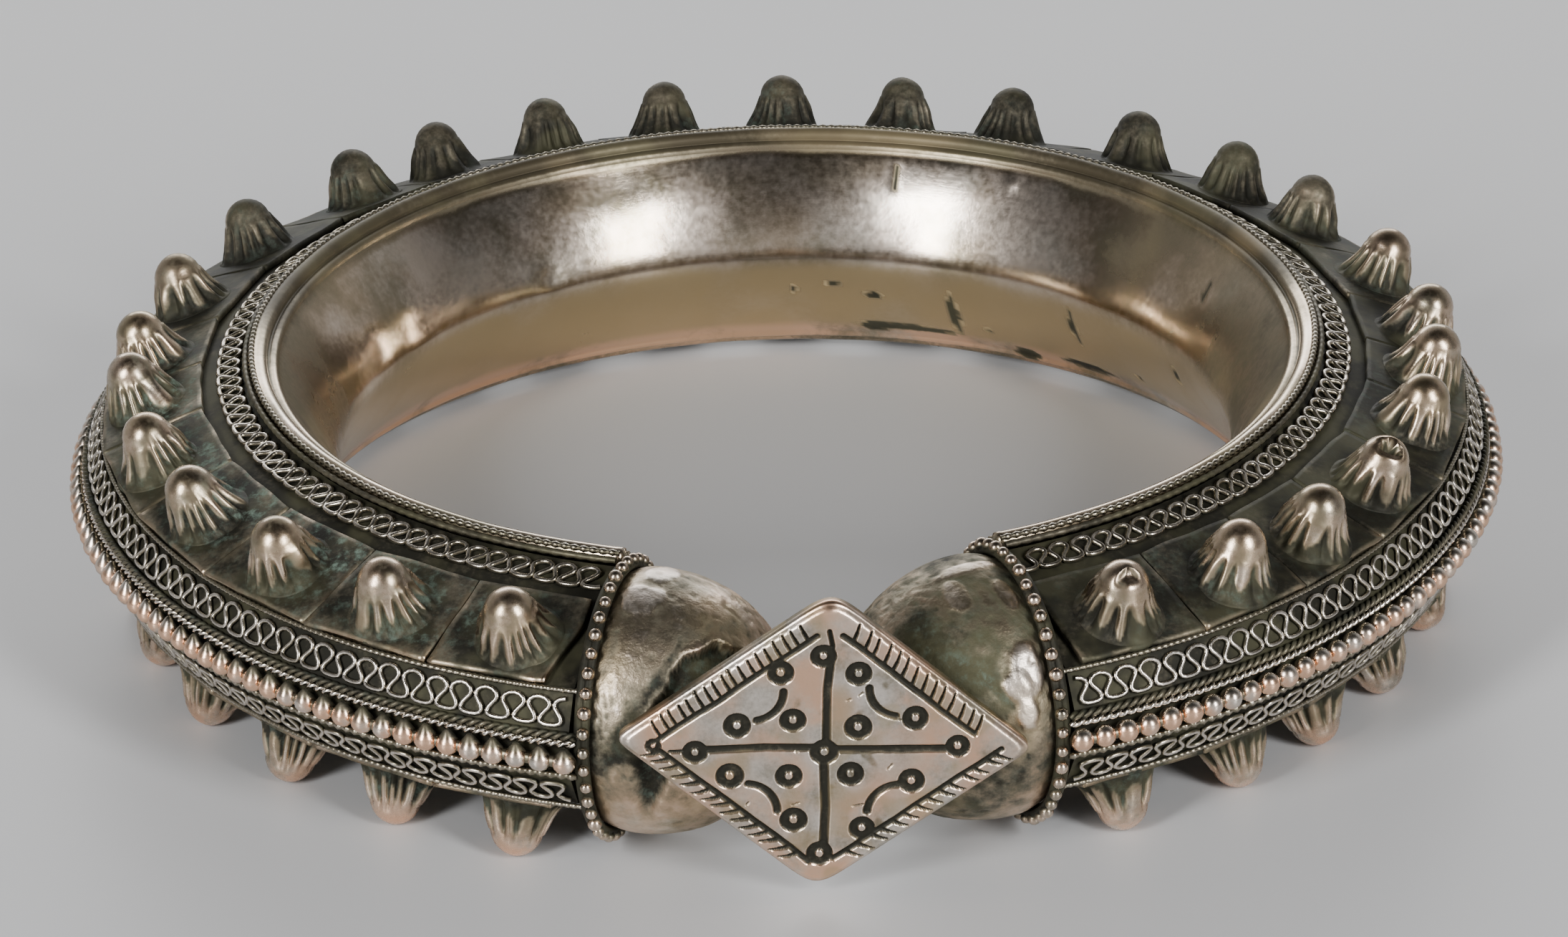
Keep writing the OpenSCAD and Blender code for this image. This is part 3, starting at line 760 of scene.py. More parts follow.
def boss_mesh(bosses, k, row):
    """One fluted boss, its foot on the plate and its axis Z, with its own irregular pleats."""
    rng = random.Random(100 * row + k)
    mesh = mesh_from(turned(boss_profile(bosses.tip_radius / MM), 108), "boss")
    co = points_of(mesh)
    flutes = bosses.flutes + rng.choice((-1, 0, 0, 1))
    turn = np.arctan2(co[:, 1], co[:, 0])
    z = co[:, 2].copy()
    phase = (turn + 0.20 * np.sin(turn * 2 + rng.uniform(0, 6)) + 0.07 * np.sin(
        turn * 5 + rng.uniform(0, 6))) * flutes / math.tau + rng.random()
    number = np.floor(phase).astype(int) % flutes
    across = np.abs(phase - np.floor(phase) - 0.5) * 2
    groove = across ** 1.7
    each = np.array([rng.uniform(0.3, 1.2) for _ in range(flutes)])
    tall = np.array([rng.uniform(-0.45, 0.35) for _ in range(flutes)])
    shine = np.array([rng.uniform(-0.22, 0.22) for _ in range(flutes)])
    # The pleats start below the smooth crown and fade out again at the foot
    begin = (3.1 if row else 2.85) + tall[number] * (1 - across)
    fade = smooth_step(0, 1.1, begin - z) * smooth_step(0.40, 0.75, z)
    depth = bosses.flute_depth / MM * (0.85 + 0.3 * rng.random())
    radius = radius_of(co)
    pushed = radius - depth * groove * fade + 0.12 * (1 - groove) * each[number] * fade
    # The sheet is drawn out more on one side than on the other
    lobe = np.cos(turn - rng.uniform(0, math.tau))
    pushed += 0.22 * lobe * smooth_step(2.0, 0.5, z) - 0.05
    pushed += 0.05 * ripple(co, 1.3, 30 + k + 40 * row) * smooth_step(0.4, 1.2, z)
    nearly_none = 1e-4
    shrink = np.where(radius > nearly_none, pushed / np.maximum(radius, nearly_none), 1)
    lean = np.array((rng.uniform(-1, 1), rng.uniform(-1, 1))) * 0.05
    co[:, :2] = co[:, :2] * shrink[:, None] + lean * z[:, None]
    # Each rib's bright crest narrows to a point above the foot
    ends = np.array([rng.uniform(-0.35, 0.5) for _ in range(flutes)])[number]
    foot = smooth_step(1.45, 0.35, z - ends)
    crest = smooth_step(0.9, 0.35, across + 0.85 * foot)
    wear_and_light = 0.58 + 0.16 * ripple(co, 0.9, 70 + k) - 0.66 * fade
    wear_and_light += (0.72 + shine[number]) * crest * fade * (0.62 + 0.38 * smooth_step(0.5, 2.3, z))
    wear_and_light = wear_and_light * (1 - 0.9 * smooth_step(0.9, 0.45, z))
    if row == 0 and k == HOLED:
        hole = np.hypot(co[:, 0] - 0.25, (co[:, 1] + 0.35) * 1.3)
        sunk = smooth_step(0.72, 0.38, hole + 0.10 * ripple(co, 0.4, 77)) * (z > 3)
        co[:, 2] -= 1.1 * sunk
        wear_and_light = np.where(sunk > 0.25, 0.0, wear_and_light)
    if row == 0 and k == DENTED:
        away = np.hypot((co[:, 0] - 0.4) / 0.36, (co[:, 1] + 0.2) / 0.6)
        dent = smooth_step(1.25, 0.7, away) * (z > 2.5)
        co[:, 2] -= 0.30 * dent
        wear_and_light -= 1.6 * dent * (1 - dent)
    set_points(mesh, co)
    set_mark(mesh, "wear_and_light", wear_and_light)
    return mesh


def plate_mesh(before, after, k, row):
    """A boss's square plate, a little uneven, with worn edges."""
    half, middle = (PLATE_TO - PLATE_FROM) / 2, (PLATE_TO + PLATE_FROM) / 2
    seed = k + 40 * row
    mesh = mesh_from(square_sheet(14, SHEET, SHEET), "plate")
    co = points_of(mesh)
    # The grid is finer towards the plate's edges
    across, sideways = (co[:, :2] + 0.25 * co[:, :2] * (1 - co[:, :2] ** 2)).T
    edge = np.maximum(np.abs(across), np.abs(sideways))
    x = across * half + middle - BOSS_ALONG
    r = on_top(BOSS_ALONG, 0)[0] + x * math.cos(TOP_SLOPE)
    y = sideways * (r * np.tan(np.where(sideways > 0, before, after)) - GAP)
    spot = np.stack([x, y, 0 * x], 1)
    z = co[:, 2] + np.where(co[:, 2] > 0.1, 0.07 * ripple(spot, 2.4, 60 + seed), 0)
    # The plates next to the collars stop short of them
    if k in (0, LAST_BOSS):
        outward = sideways * (1 if k == 0 else -1)
        short = np.where(outward > 0, 0.12 + 0.20 * smooth_step(-0.6, 1.0, across), 0)
        y = y * (1 - short * smooth_step(0, 1, outward) * (1 if k == 0 else 0.5))
    y = y + 0.12 * ripple(spot, 3.0, 160 + seed) * smooth_step(0.7, 1.0, edge)
    x = x + 0.10 * ripple(spot, 2.0, 260 + seed) * smooth_step(0.7, 1.0, edge)
    set_points(mesh, np.stack([x, y, z], 1))
    # Painted shadow round the boss and painted shade on the right-hand plates; rubbed along the
    # edges, least at the back
    outer = smooth_step(0.6, 1.0, across)
    halo = smooth_step(4.2, 2.6, np.hypot(x, y))
    worn_edge = (0.06 if 7 < k < 24 else 0.16) + 0.20 * outer
    worn_edge = worn_edge * smooth_step(-0.5, 0.4, ripple(spot, 1.1, 460 + seed))
    wear_and_light = 0.13 + 0.10 * outer - 0.16 * halo + 0.14 * ripple(spot, 1.6, 360 + seed)
    wear_and_light += worn_edge * smooth_step(0.95, 1.0, edge) - (0.12 if k > 19 else 0)
    set_mark(mesh, "wear_and_light", wear_and_light)
    return mesh


class BANGLE_OT_bosses(bpy.types.Operator):
    """Raises the two rows of fluted bosses on their plates"""

    bl_idname = "bangle.bosses"
    bl_label = "Fluted bosses"

    def execute(self, context):
        bosses, metal = context.scene.bangle_bosses, context.scene.bangle_silver
        finish = silver("boss_silver", metal, shine=(0.27, 0.60), pits=0.22, green=1.0,
                        peach=1.0, straw_and_reflection=1.0, olive=0.35)
        # From the left of the opening round the back
        step = (math.tau - 2 * bosses.first_angle) / (bosses.count - 1)
        angles = [-math.pi / 2 - bosses.first_angle - k * step + math.radians(BOSS_SHIFT[k])
                  for k in range(bosses.count)]
        seat = on_top(BOSS_ALONG, GAP)
        for row, name in ((0, "upper"), (1, "lower")):
            meshes = []
            for k, angle in enumerate(angles):
                before = (angles[k - 1] - angle) / 2 if k else step / 2
                after = (angle - angles[k + 1]) / 2 if k < bosses.count - 1 else step / 2
                stand = (Matrix.Rotation(angle, 4, "Z") @ Matrix.Translation((seat[0], 0, seat[1]))
                         @ Matrix.Rotation(TOP_SLOPE, 4, "Y"))
                for mesh in (boss_mesh(bosses, k, row), plate_mesh(before, after, k, row)):
                    mesh.transform(stand)
                    meshes.append(mesh)
            mesh = joined(meshes)
            co = points_of(mesh)
            if row:
                # The lower row is the upper one upside down, and its tips end at the floor
                co[:, 2] = np.maximum(-co[:, 2], -HOOP.z)
                set_points(mesh, co)
                mesh.flip_normals()
            front_left = smooth_step(-14, -24, co[:, 0]) * smooth_step(12, -6, co[:, 1])
            around = radius_of(co)
            inner = smooth_step(42.5, 38.0, around)
            set_mark(mesh, "green",
                     0.12 + front_left * (0.25 + 0.75 * inner) + 0.3 * ripple(co, 5, 3))
            # Painted shade darkens the bosses at the back, most of all on the sides that face the
            # wrist; the lower ones' tips, where they stand on the floor, are worn brighter and
            # coppery, with a painted warm reflection of the floor
            worn, normals = np.zeros(len(co)), np.zeros(len(co) * 3)
            mesh.attributes["wear_and_light"].data.foreach_get("value", worn)
            mesh.vertices.foreach_get("normal", normals)
            normals = normals.reshape(-1, 3)
            outward = (normals[:, 0] * co[:, 0] + normals[:, 1] * co[:, 1]) / around
            back = smooth_step(0, 24, co[:, 1]) * (1 - 0.7 * smooth_step(0.4, 0.8, outward))
            tip = smooth_step(3.0, 0.6, co[:, 2] + HOOP.z) if row else 0 * back
            set_mark(mesh, "wear_and_light", worn * (1 - 0.8 * back) + 0.25 * tip)
            set_mark(mesh, "blush_and_reflection", 0.35 + 0.1 * inner + 0.65 * tip)
            set_mark(mesh, "straw_and_reflection", (0.20 + 0.3 * ripple(co, 4, 21))
                     * smooth_step(0.1, 0.5, worn) * (1 - tip) * (1 - 0.9 * back))
            place(mesh, name + "_boss_row", finish, [name + "_bosses"])
        return {"FINISHED"}


# Beads, ropes and milled wires
def body_length(hoop, radius):
    return (math.tau - 2 * hoop.body_angle) * radius


def milled(hoop, radius, height, pitch, depth):
    """Line and thickness of a wire as long as the body, with notches cut across it."""
    n = int(body_length(hoop, radius) / pitch) * 4 + 1
    swell = 1 - depth * (0.5 + 0.5 * np.cos(np.arange(n) * math.pi / 2))
    return round_hoop(hoop, radius, height, count=n), swell


def twisted(hoop, radius, height, thick, pitch):
    """The two strands of a twisted rope round the hoop."""
    per_turn = 9
    turn = np.arange(int(body_length(hoop, radius) / pitch * per_turn)) / per_turn * math.tau
    half = thick / 2
    return [round_hoop(hoop, radius + half * np.cos(turn + p), height + half * np.sin(turn + p))
            for p in (0, math.pi)]


class BANGLE_OT_rim(bpy.types.Operator):
    """Runs beads, two ropes and a milled wire round the rim"""

    bl_idname = "bangle.rim"
    bl_label = "Rim beads and ropes"

    def execute(self, context):
        hoop, wires, metal = (context.scene.bangle_hoop, context.scene.bangle_wires,
                              context.scene.bangle_silver)
        rim = hoop.rim_radius / MM
        bead_r = wires.rim_bead_radius / MM
        ring = rim + GAP + bead_r
        angles = np.linspace(*body_span(hoop, 0.75), wires.rim_beads)
        centres = [(ring * math.cos(a), ring * math.sin(a), 0) for a in angles]
        mesh = mesh_from(beads(centres, bead_r, 14, 10, 0.04, 5), "rim_beads")
        co = points_of(mesh)
        # Pear-shaped and dark on top at the front left, round elsewhere
        left = smooth_step(10, -4, co[:, 0]) * smooth_step(20, -5, co[:, 1])
        up = co[:, 2] / bead_r
        narrow = 1 - 0.45 * smooth_step(0.0, 1.0, up) * left
        step = angles[1] - angles[0]
        turn = np.mod(np.arctan2(co[:, 1], co[:, 0]) - angles[0] + step / 2, math.tau)
        middle = angles[0] + np.floor(turn / step) * step
        turn = middle + (np.mod(turn, step) - step / 2) * narrow
        out = (radius_of(co) - ring) * narrow
        co[:, 0], co[:, 1] = (ring + out) * np.cos(turn), (ring + out) * np.sin(turn)
        co[:, 2] *= 1 + 0.35 * left * (up > 0)
        set_points(mesh, co)
        dark = smooth_step(0.25, 0.6, co[:, 2]) * left * smooth_step(-41, -33, co[:, 0])
        set_mark(mesh, "wear_and_light", 0.18 + 0.72 * smooth_step(-0.35, 0.3, out) - 0.62 * dark)
        # Peach on the beads' lower halves is painted warm reflection of the floor
        set_mark(mesh, "blush_and_reflection", smooth_step(0.62, 0.2, co[:, 2]))
        bead_finish = silver("rim_bead_silver", metal, shine=(0.26, 0.55), pits=0.15, peach=1.4)
        core = drawn_wire([round_hoop(hoop, ring - 0.1, -0.05, count=360)], bead_r * 0.5)
        set_mark(core, "wear_and_light", 0.42)
        place(joined([mesh, core]), "rim_bead_row", bead_finish, ["rim_beads"])

        rope_finish = silver("rope_silver", metal, shine=(0.22, 0.55), green=0.4)
        strands = [strand for height, out in ((0.95, 0.28), (1.42, 0.22))
                   for strand in twisted(hoop, rim + GAP + out, height, 0.27, 1.17)]
        ropes = drawn_wire(strands, 0.14)
        line, swell = milled(hoop, rim + GAP + 0.24, -1.12, 0.62, 0.42)
        mesh = joined([ropes, drawn_wire([line], 0.27, swell=[swell])])
        co = points_of(mesh)
        out = radius_of(co) - rim
        # The upper rope stays dark, the lower one and the milled wire are rubbed
        bright = np.where(co[:, 2] > 1.2, 0.26 * smooth_step(0.30, 0.50, out),
                          smooth_step(0.27, 0.44, out))
        set_mark(mesh, "wear_and_light", np.where(co[:, 2] < 0, 0.6 * smooth_step(0.25, 0.52, out), bright))
        set_mark(mesh, "green", 0.3)
        place(mesh, "rim_ropes", rope_finish, ["rim_wires"])
        return {"FINISHED"}


class BANGLE_OT_lip_wires(bpy.types.Operator):
    """Runs two milled wires outside each rolled lip"""

    bl_idname = "bangle.lip_wires"
    bl_label = "Lip wires"

    def execute(self, context):
        hoop, metal = context.scene.bangle_hoop, context.scene.bangle_silver
        lip_r, lip_h = hoop.lip_radius / MM, hoop.lip_height / MM
        # How far each wire is outside the lip's crest and below it, its pitch and notch depth
        first, second = (0.44, 0.13, 0.6, 0.42), (0.82, 0.44, 0.8, 0.25)
        lines, swells = [], []
        for flip in (1, -1):
            for out, down, pitch, depth in (first, second):
                line, swell = milled(hoop, lip_r + out, (lip_h - down) * flip, pitch, depth)
                lines.append(line[3:-3])
                swells.append(swell[3:-3] * 1.1)
        mesh = drawn_wire(lines, 0.2, swell=swells)
        co = points_of(mesh)
        outside, level = radius_of(co) - lip_r, np.abs(co[:, 2])
        # The first is light between its notches, the second stays dark
        light = smooth_step(0.10, 0.20, np.hypot(outside - first[0], level - (lip_h - first[1])))
        wear_and_light = np.where(outside < 0.64, 0.04 + 0.62 * light, 0.16)
        set_mark(mesh, "wear_and_light", wear_and_light * (1 - 0.4 * smooth_step(0, 25, co[:, 1])))
        finish = silver("lip_wire_silver", metal, shine=(0.26, 0.52), pits=0.2, olive=0.5,
                        patch=4.0)
        place(mesh, "milled_lip_wires", finish, ["lip_wires"])
        return {"FINISHED"}


# Filigree
def serpentine(hoop, face, middle, reach, loops, bulge, slant, seed, flip):
    """One wire that winds along a face of the section in round loops."""
    rng = random.Random(seed)
    steps, lift = 20, 0.16
    period = np.arange(loops * steps + 1) / steps
    t = period * math.tau

    def drift():
        stops = np.arange(loops + 2)
        return np.interp(period, stops, [rng.uniform(-1, 1) for _ in stops])

    wobble, size = drift(), 1 + 0.06 * drift()
    # Round at the top of the band, flatter at its foot
    across = -reach * size * (np.cos(t) + (0.03 + 0.07 * np.cos(t)) * np.cos(3 * t)) / 1.03
    forward = period + bulge * np.sin(2 * t) + slant * np.cos(t) + 0.05 * wobble
    start, end = body_span(hoop)
    a = start + (end - start) * (forward + 0.5) / (loops + 1)
    r, h = face(middle + across, lift + 0.015 * np.sin(3 * t))
    return np.stack([r * np.cos(a), r * np.sin(a), h * flip], 1)


class BANGLE_OT_filigree(bpy.types.Operator):
    """Winds the four bands of serpentine wire on either side of the bosses"""

    bl_idname = "bangle.filigree"
    bl_label = "Filigree bands"

    def execute(self, context):
        hoop, wires, metal = (context.scene.bangle_hoop, context.scene.bangle_wires,
                              context.scene.bangle_silver)
        finish = silver("filigree_silver", metal, shine=(0.26, 0.55), green=0.4)
        for name, face, middle, reach, loops, bulge, slant, flip, seed in (
                ("upper_inner", on_top, 1.30, 0.74, wires.inner_loops, 0.28, 0.13, 1, 41),
                ("upper_outer", on_side, 1.40, 0.82, wires.outer_loops, 0.275, 0.0, 1, 42),
                ("lower_outer", on_side, 1.42, 0.80, wires.outer_loops, 0.275, 0.0, -1, 43),
                ("lower_inner", on_top, 1.30, 0.74, wires.inner_loops, 0.28, 0.13, -1, 44)):
            line = serpentine(hoop, face, middle, reach, loops, bulge, slant, seed, flip)
            thick, rubbed = 1.03, 0.85
            if face is on_top:
                line, thick, rubbed = line[8:-8], 1.2, 0.72
            wire = drawn_wire([line], wires.filigree_radius / MM * thick)
            base = face(0, 0)
            normal = np.array(face(0, 1)) - np.array(base)
            co = points_of(wire)
            lift = (radius_of(co) - base[0]) * normal[0] + (co[:, 2] * flip - base[1]) * normal[1]
            set_mark(wire, "wear_and_light", (0.02 + rubbed * smooth_step(0.12, 0.30, lift))
                     * (1 - 0.35 * smooth_step(-5, 25, co[:, 1])))
            if face is on_side:
                # A fine milled wire runs along the plates' outer edges
                r, h = face(0.06, 0.22)
                edge_line, swell = milled(hoop, r, h * flip, 0.42, 0.28)
                edge = drawn_wire([edge_line], 0.17, swell=[swell])
                outside = radius_of(points_of(edge)) - r
                set_mark(edge, "wear_and_light", 0.05 + 0.6 * smooth_step(0, 0.15, outside))
                wire = joined([wire, edge])
            set_mark(wire, "green", 0.35)
            place(wire, name + "_serpentine", finish, [name + "_filigree"])
        return {"FINISHED"}


# Lozenge
# Quarters: side, height, border line's distance from the edge, ticks, their lean, and where the
# border line starts and ends on its way from the side corner to the top or bottom one
QUARTERS = ((-1, 1, 1.43, 19, 0.1, 0.02, 0.92), (1, 1, 1.45, 15, 0.3, 0.12, 0.93),
            (-1, -1, 1.22, 16, -0.6, 0.07, 0.95), (1, -1, 1.18, 15, -0.5, 0.0, 0.92))
# Curls: across, up, radius. Ring punches: across, up, size
CURLS = ((-4.3, 3.3, 1.78), (4.15, 3.8, 1.80), (-4.35, -4.4, 1.86), (4.5, -4.25, 1.86))
PUNCHES = ((0, -0.39, 1.08), (-0.37, 5.73, 0.98), (0.06, -7.0, 1), (-7.37, -0.58, 0.95),
           (7.6, 0.16, 0.92), (-9.76, -0.23, 0.62), (-2.74, 4.61, 1), (-5.06, 1.19, 1.03),
           (-1.9, 1.6, 1), (1.69, 4.67, 0.98), (5.07, 1.92, 0.98), (1.84, 1.25, 1.04),
           (-5.32, -2.06, 1.07), (-1.95, -1.99, 1.02), (-1.54, -4.82, 1.04), (1.57, -1.76, 1),
           (5.08, -2.14, 1), (2.41, -5.28, 0.98))
# Strokes of the cross, a little crooked and tapered: points, and width
CROSS = ((((-8.8, -0.58), (-7.9, -0.52)), 0.24),
         (((-6.7, -0.40), (-3.5, -0.16), (-0.7, -0.12)), 0.50),
         (((0.6, -0.2), (3.5, -0.12), (7.1, 0.0)), 0.52),
         (((-0.1, 7.3), (0.12, 6.4), (0.05, 5.5)), 0.28),
         (((0.05, 5.5), (-0.05, 3.6), (0.08, 0.4)), 0.50),
         (((0.0, -1.0), (0.25, -4.0), (0.27, -6.4)), 0.54))
LOZENGE_THICK, DINGS = 1.1, 16


def lozenge_relief(x, y, half_w, half_h):
    """Depth share of the engraving at each point of the front face, 0 to 1."""
    depth = np.zeros_like(x)
    norm = math.hypot(half_w, half_h)

    def cut(distance, width):
        nonlocal depth
        depth = np.maximum(depth, 1 - smooth_step(width * 0.22, width * 0.62, distance))

    def stroke(x0, y0, x1, y1, width):
        length = math.hypot(x1 - x0, y1 - y0)
        ux, uy = (x1 - x0) / length, (y1 - y0) / length
        s = np.clip((x - x0) * ux + (y - y0) * uy, 0, length)
        cut(np.hypot(x - x0 - s * ux, y - y0 - s * uy), width)

    rng = random.Random(9)
    for points, width in CROSS:
        for (x0, y0), (x1, y1) in zip(points, points[1:]):
            stroke(x0, y0, x1, y1, width)
    for sx, sy, border, ticks, lean, starts, ends in QUARTERS:
        # The border line runs from (ax, 0) at the side corner to (0, by) at the other
        share = 1 - border * norm / (half_w * half_h)
        ax, by = sx * half_w * share, sy * half_h * share
        last = None
        for q in np.linspace(starts, ends, 9):
            spot = (ax * (1 - q) + rng.uniform(-0.05, 0.05), by * q + rng.uniform(-0.05, 0.05))
            if last:
                stroke(*last, *spot, 0.38)
            last = spot
        # The ticks stand on it, lean along it and thin out towards the plate's edge
        outwards = np.array((sx * half_h, sy * half_w)) / norm
        sideways = np.array((-ax, by)) * lean * border / math.hypot(ax, by)
        thick = 0.22 if sy > 0 else 0.25
        first = starts * 0.7
        for t in range(1, ticks):
            q = first + (ends + 0.02 - first) * (t - 0.5 + rng.uniform(-0.12, 0.12)) / ticks
            foot = np.array((ax * (1 - q), by * q))
            a, b = rng.uniform(-0.05, 0.12), border - 0.28 + rng.uniform(-0.12, 0.06)
            middle = foot + outwards * b * 0.55 + sideways * 0.5
            stroke(*(foot + outwards * a), *middle, thick)
            stroke(*middle, *(foot + outwards * b + sideways), 0.75 * thick)
    for cx, cy, radius in CURLS:
        facing = math.atan2(-cy, -cx)
        turn = np.angle(np.exp(1j * (np.arctan2(y - cy, x - cx) - facing)))
        off = np.hypot(np.abs(np.hypot(x - cx, y - cy) - radius),
                       np.maximum(0, np.abs(turn) - 0.72) * radius)
        cut(off, 0.48)
    for px, py, size in PUNCHES:
        away = np.hypot(x - px, (y - py) * rng.uniform(0.96, 1.04)) / size
        ring = smooth_step(0.20, 0.27, away) * smooth_step(0.80, 0.70, away)
        depth = depth * smooth_step(0.70, 0.78, away) + ring
    # Small dings from wear
    for _ in range(DINGS):
        px, py = rng.uniform(-5, 5), rng.uniform(-4, 4)
        turn = rng.uniform(-0.6, 1.2)
        long = rng.uniform(0.2, 0.6)
        lightly = depth.copy()
        stroke(px, py, px + long * math.cos(turn), py + long * math.sin(turn), 0.14)
        depth = np.maximum(lightly, depth * 0.5)
    return depth


class BANGLE_OT_lozenge(bpy.types.Operator):
    """Cuts the engraved lozenge from a finely divided plate"""

    bl_idname = "bangle.lozenge"
    bl_label = "Engraved lozenge"

    def execute(self, context):
        plate, metal = context.scene.bangle_lozenge, context.scene.bangle_silver
        half_w, half_h = plate.width / MM / 2, plate.height / MM / 2
        low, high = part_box("lozenge_plate")
        front = low[1] / MM - HOOP.y
        rise = (low[2] + high[2]) / 2 / MM - HOOP.z
        mesh = mesh_from(square_sheet(220, 0, LOZENGE_THICK), "lozenge")
        co = points_of(mesh)
        # The square stands on a corner
        u, v = co[:, 0], co[:, 1]
        x, y = (u - v) / 2 * half_w, (u + v) / 2 * half_h
        edge = np.maximum(np.abs(u), np.abs(v))
        from_edge = (1 - edge) * half_w * half_h / math.hypot(half_w, half_h)
        # Corners are worn round: what lies outside the rounded outline is drawn in
        power = np.where(u * v < 0, 26, 13)
        reach = (np.abs(u) ** power + np.abs(v) ** power) ** (1 / power)
        drawn = np.where(edge > 0, edge / np.maximum(reach, 1e-6), 1)
        drawn = drawn ** smooth_step(0.5, 1.0, edge)
        x, y = x * drawn, y * drawn
        spot = np.stack([x, y, x * 0], 1)
        relief = lozenge_relief(x, y, half_w, half_h)
        top = co[:, 2] > -0.01
        worn_rim = 0.35 * (1 - smooth_step(0, 0.50, from_edge)) ** 2
        uneven = 0.035 * ripple(spot, 3.0, 50) + 0.010 * ripple(spot, 0.6, 51)
        z = co[:, 2] + np.where(top, uneven - relief * plate.depth / MM - worn_rim, 0)
        wear_and_light = 0.80 - 1.2 * relief + 0.20 * ripple(spot, 1.4, 52)
        wear_and_light -= 0.30 * smooth_step(0.35, 0.7, ripple(spot, 0.9, 53)) * smooth_step(5, 3, np.abs(x))
        set_points(mesh, np.stack([x, y, z], 1))
        set_mark(mesh, "wear_and_light", np.where(top, wear_and_light, 0.3))
        set_mark(mesh, "blush_and_reflection", 0.60 + 1.1 * ripple(spot, 2.2, 54))
        set_mark(mesh, "straw_and_reflection", smooth_step(0.05, 0.35, ripple(spot, 1.9, 55)) * (1 - relief))
        mesh.transform(Matrix.Translation((0, front, rise)) @ Matrix.Rotation(math.pi / 2, 4, "X")
                       @ Matrix.Rotation(-plate.turn, 4, "Z"))
        finish = silver("lozenge_silver", metal, shine=(0.30, 0.52), pits=0.25, pit_size=0.25,
                        peach=1.0, straw_and_reflection=0.45, olive=0.0, patch=3.0)
        place(mesh, "engraved_lozenge", finish, ["lozenge_plate"])
        return {"FINISHED"}


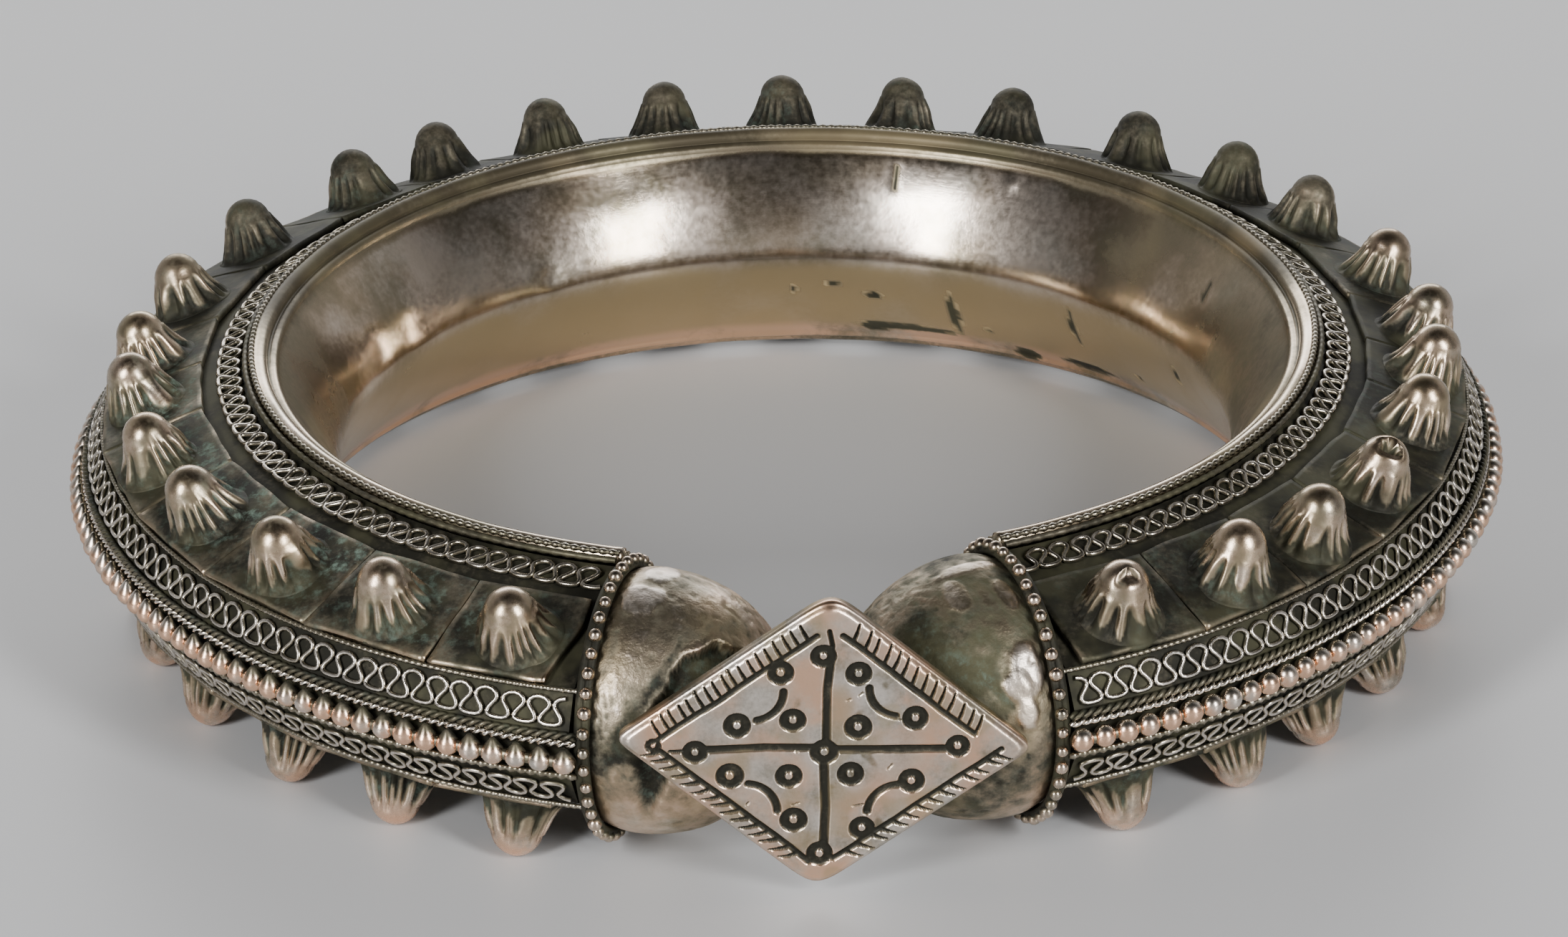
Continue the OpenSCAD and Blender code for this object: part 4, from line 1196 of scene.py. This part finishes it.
# Stage
class BANGLE_OT_stage(bpy.types.Operator):
    """Sets the floor, the soft lights and the camera"""

    bl_idname = "bangle.stage"
    bl_label = "Studio"

    def execute(self, context):
        studio = context.scene.bangle_studio
        bm = bmesh.new()
        bmesh.ops.create_grid(bm, x_segments=1, y_segments=1, size=3)
        floor_mesh = mesh_from(bm, "floor")
        floor_mesh.materials.append(plain("pale_floor", studio.floor_colour, 0.45))
        floor = bpy.data.objects.new("floor", floor_mesh)
        floor.location.z = -0.00002
        context.scene.collection.objects.link(floor)

        world = bpy.data.worlds.new("studio")
        world.use_nodes = True
        tree = world.node_tree
        add, maths, mixed, stepped = node_tools(tree)
        split = add("ShaderNodeSeparateXYZ", "Y", Vector=add("ShaderNodeTexCoord", "Object")).node
        forward, upward = split.outputs["Y"], split.outputs["Z"]
        # A dim ceiling over pale walls: the sky darkens from the horizon up, and the pale backdrop
        # reaches further up than the walls beside and behind the camera
        rise = maths("MULTIPLY_ADD", maths("MAXIMUM", forward, 0), -0.35, upward)
        sky = mixed(stepped(rise, 0.15, 0.92), studio.wall_colour, studio.ceiling_colour)
        # The room is bright behind the bracelet and behind the camera, and dark on both sides
        far, near = (add("ShaderNodeMapRange", "Result", Value=forward, From_Min=start,
                         From_Max=end, To_Min=0.4, To_Max=most)
                     for start, end, most in ((0.0, 0.55, 1.1), (-0.72, -0.95, 1.2)))
        tree.links.new(sky, tree.nodes["Background"].inputs["Color"])
        tree.links.new(maths("MAXIMUM", far, near), tree.nodes["Background"].inputs["Strength"])
        context.scene.world = world
        # Soft lights that face the bracelet: place, width, height, and share of the power
        for name, spot, wide, tall, power in (
                ("left_softbox", (-0.465, -0.50, 0.34), 0.15, 0.38, 0.88),
                ("right_softbox", (0.415, -0.535, 0.34), 0.16, 0.38, 0.88),
                ("back_light", (0.0, 0.80, 0.30), 0.8, 0.2, 0.5)):
            light = bpy.data.lights.new(name, "AREA")
            light.shape, light.size, light.size_y = "RECTANGLE", wide, tall
            light.energy = studio.light_power * power
            lamp = bpy.data.objects.new(name, light)
            lamp.location = spot
            lamp.rotation_euler = Vector(spot).to_track_quat("Z", "Y").to_euler()
            context.scene.collection.objects.link(lamp)

        lens = bpy.data.cameras.new("camera")
        lens.sensor_width, lens.lens = 36, studio.lens
        lens.clip_start, lens.clip_end = 0.01, 10
        camera = bpy.data.objects.new("camera", lens)
        context.scene.collection.objects.link(camera)
        # As the photograph was taken: from the front, high up, and a little out of level
        yaw, pitch, roll = math.radians(2.358), -0.4437, -0.0226
        flat = math.cos(pitch)
        ahead = Vector((math.sin(yaw) * flat, math.cos(yaw) * flat, math.sin(pitch)))
        right = Vector((math.cos(yaw), -math.sin(yaw), 0))
        up = right.cross(ahead)
        side = right * math.cos(roll) + up * math.sin(roll)
        top = up * math.cos(roll) - right * math.sin(roll)
        turn = Matrix((side, top, -ahead)).transposed().to_4x4()
        spot = Vector((-13.03, -313.35, 146.78)) + HOOP
        camera.matrix_world = Matrix.Translation(spot * MM) @ turn
        context.scene.camera = camera
        return {"FINISHED"}


GROUPS = (
    ("bangle_hoop", BangleHoop), ("bangle_bosses", BangleBosses), ("bangle_wires", BangleWires),
    ("bangle_lozenge", BangleLozenge), ("bangle_silver", BangleSilver),
    ("bangle_studio", BangleStudio))
PIECES = (BANGLE_OT_shell, BANGLE_OT_inner_band, BANGLE_OT_domes, BANGLE_OT_collars,
          BANGLE_OT_bosses, BANGLE_OT_rim, BANGLE_OT_lip_wires, BANGLE_OT_filigree,
          BANGLE_OT_lozenge, BANGLE_OT_stage)


class BANGLE_PT_panel(bpy.types.Panel):
    """Lists the bangle's pieces and their settings"""

    bl_idname = "BANGLE_PT_panel"
    bl_label = "Bangle"
    bl_space_type = "VIEW_3D"
    bl_region_type = "UI"
    bl_category = "Bangle"

    def draw(self, context):
        for name, group in GROUPS:
            box = self.layout.box()
            box.label(text=group.__doc__)
            for key in group.__annotations__:
                box.prop(getattr(context.scene, name), key)
        for piece in PIECES:
            self.layout.operator(piece.bl_idname)


def register():
    for name, group in GROUPS:
        bpy.utils.register_class(group)
        setattr(bpy.types.Scene, name, PointerProperty(type=group))
    for piece in (*PIECES, BANGLE_PT_panel):
        bpy.utils.register_class(piece)


def unregister():
    for piece in (BANGLE_PT_panel, *reversed(PIECES)):
        bpy.utils.unregister_class(piece)
    for name, group in reversed(GROUPS):
        delattr(bpy.types.Scene, name)
        bpy.utils.unregister_class(group)


def main():
    register()
    bpy.ops.bangle.shell()
    bpy.ops.bangle.inner_band()
    bpy.ops.bangle.domes()
    bpy.ops.bangle.collars()
    bpy.ops.bangle.bosses()
    bpy.ops.bangle.rim()
    bpy.ops.bangle.lip_wires()
    bpy.ops.bangle.filigree()
    bpy.ops.bangle.lozenge()
    bpy.ops.bangle.stage()


if __name__ == "__main__":
    main()
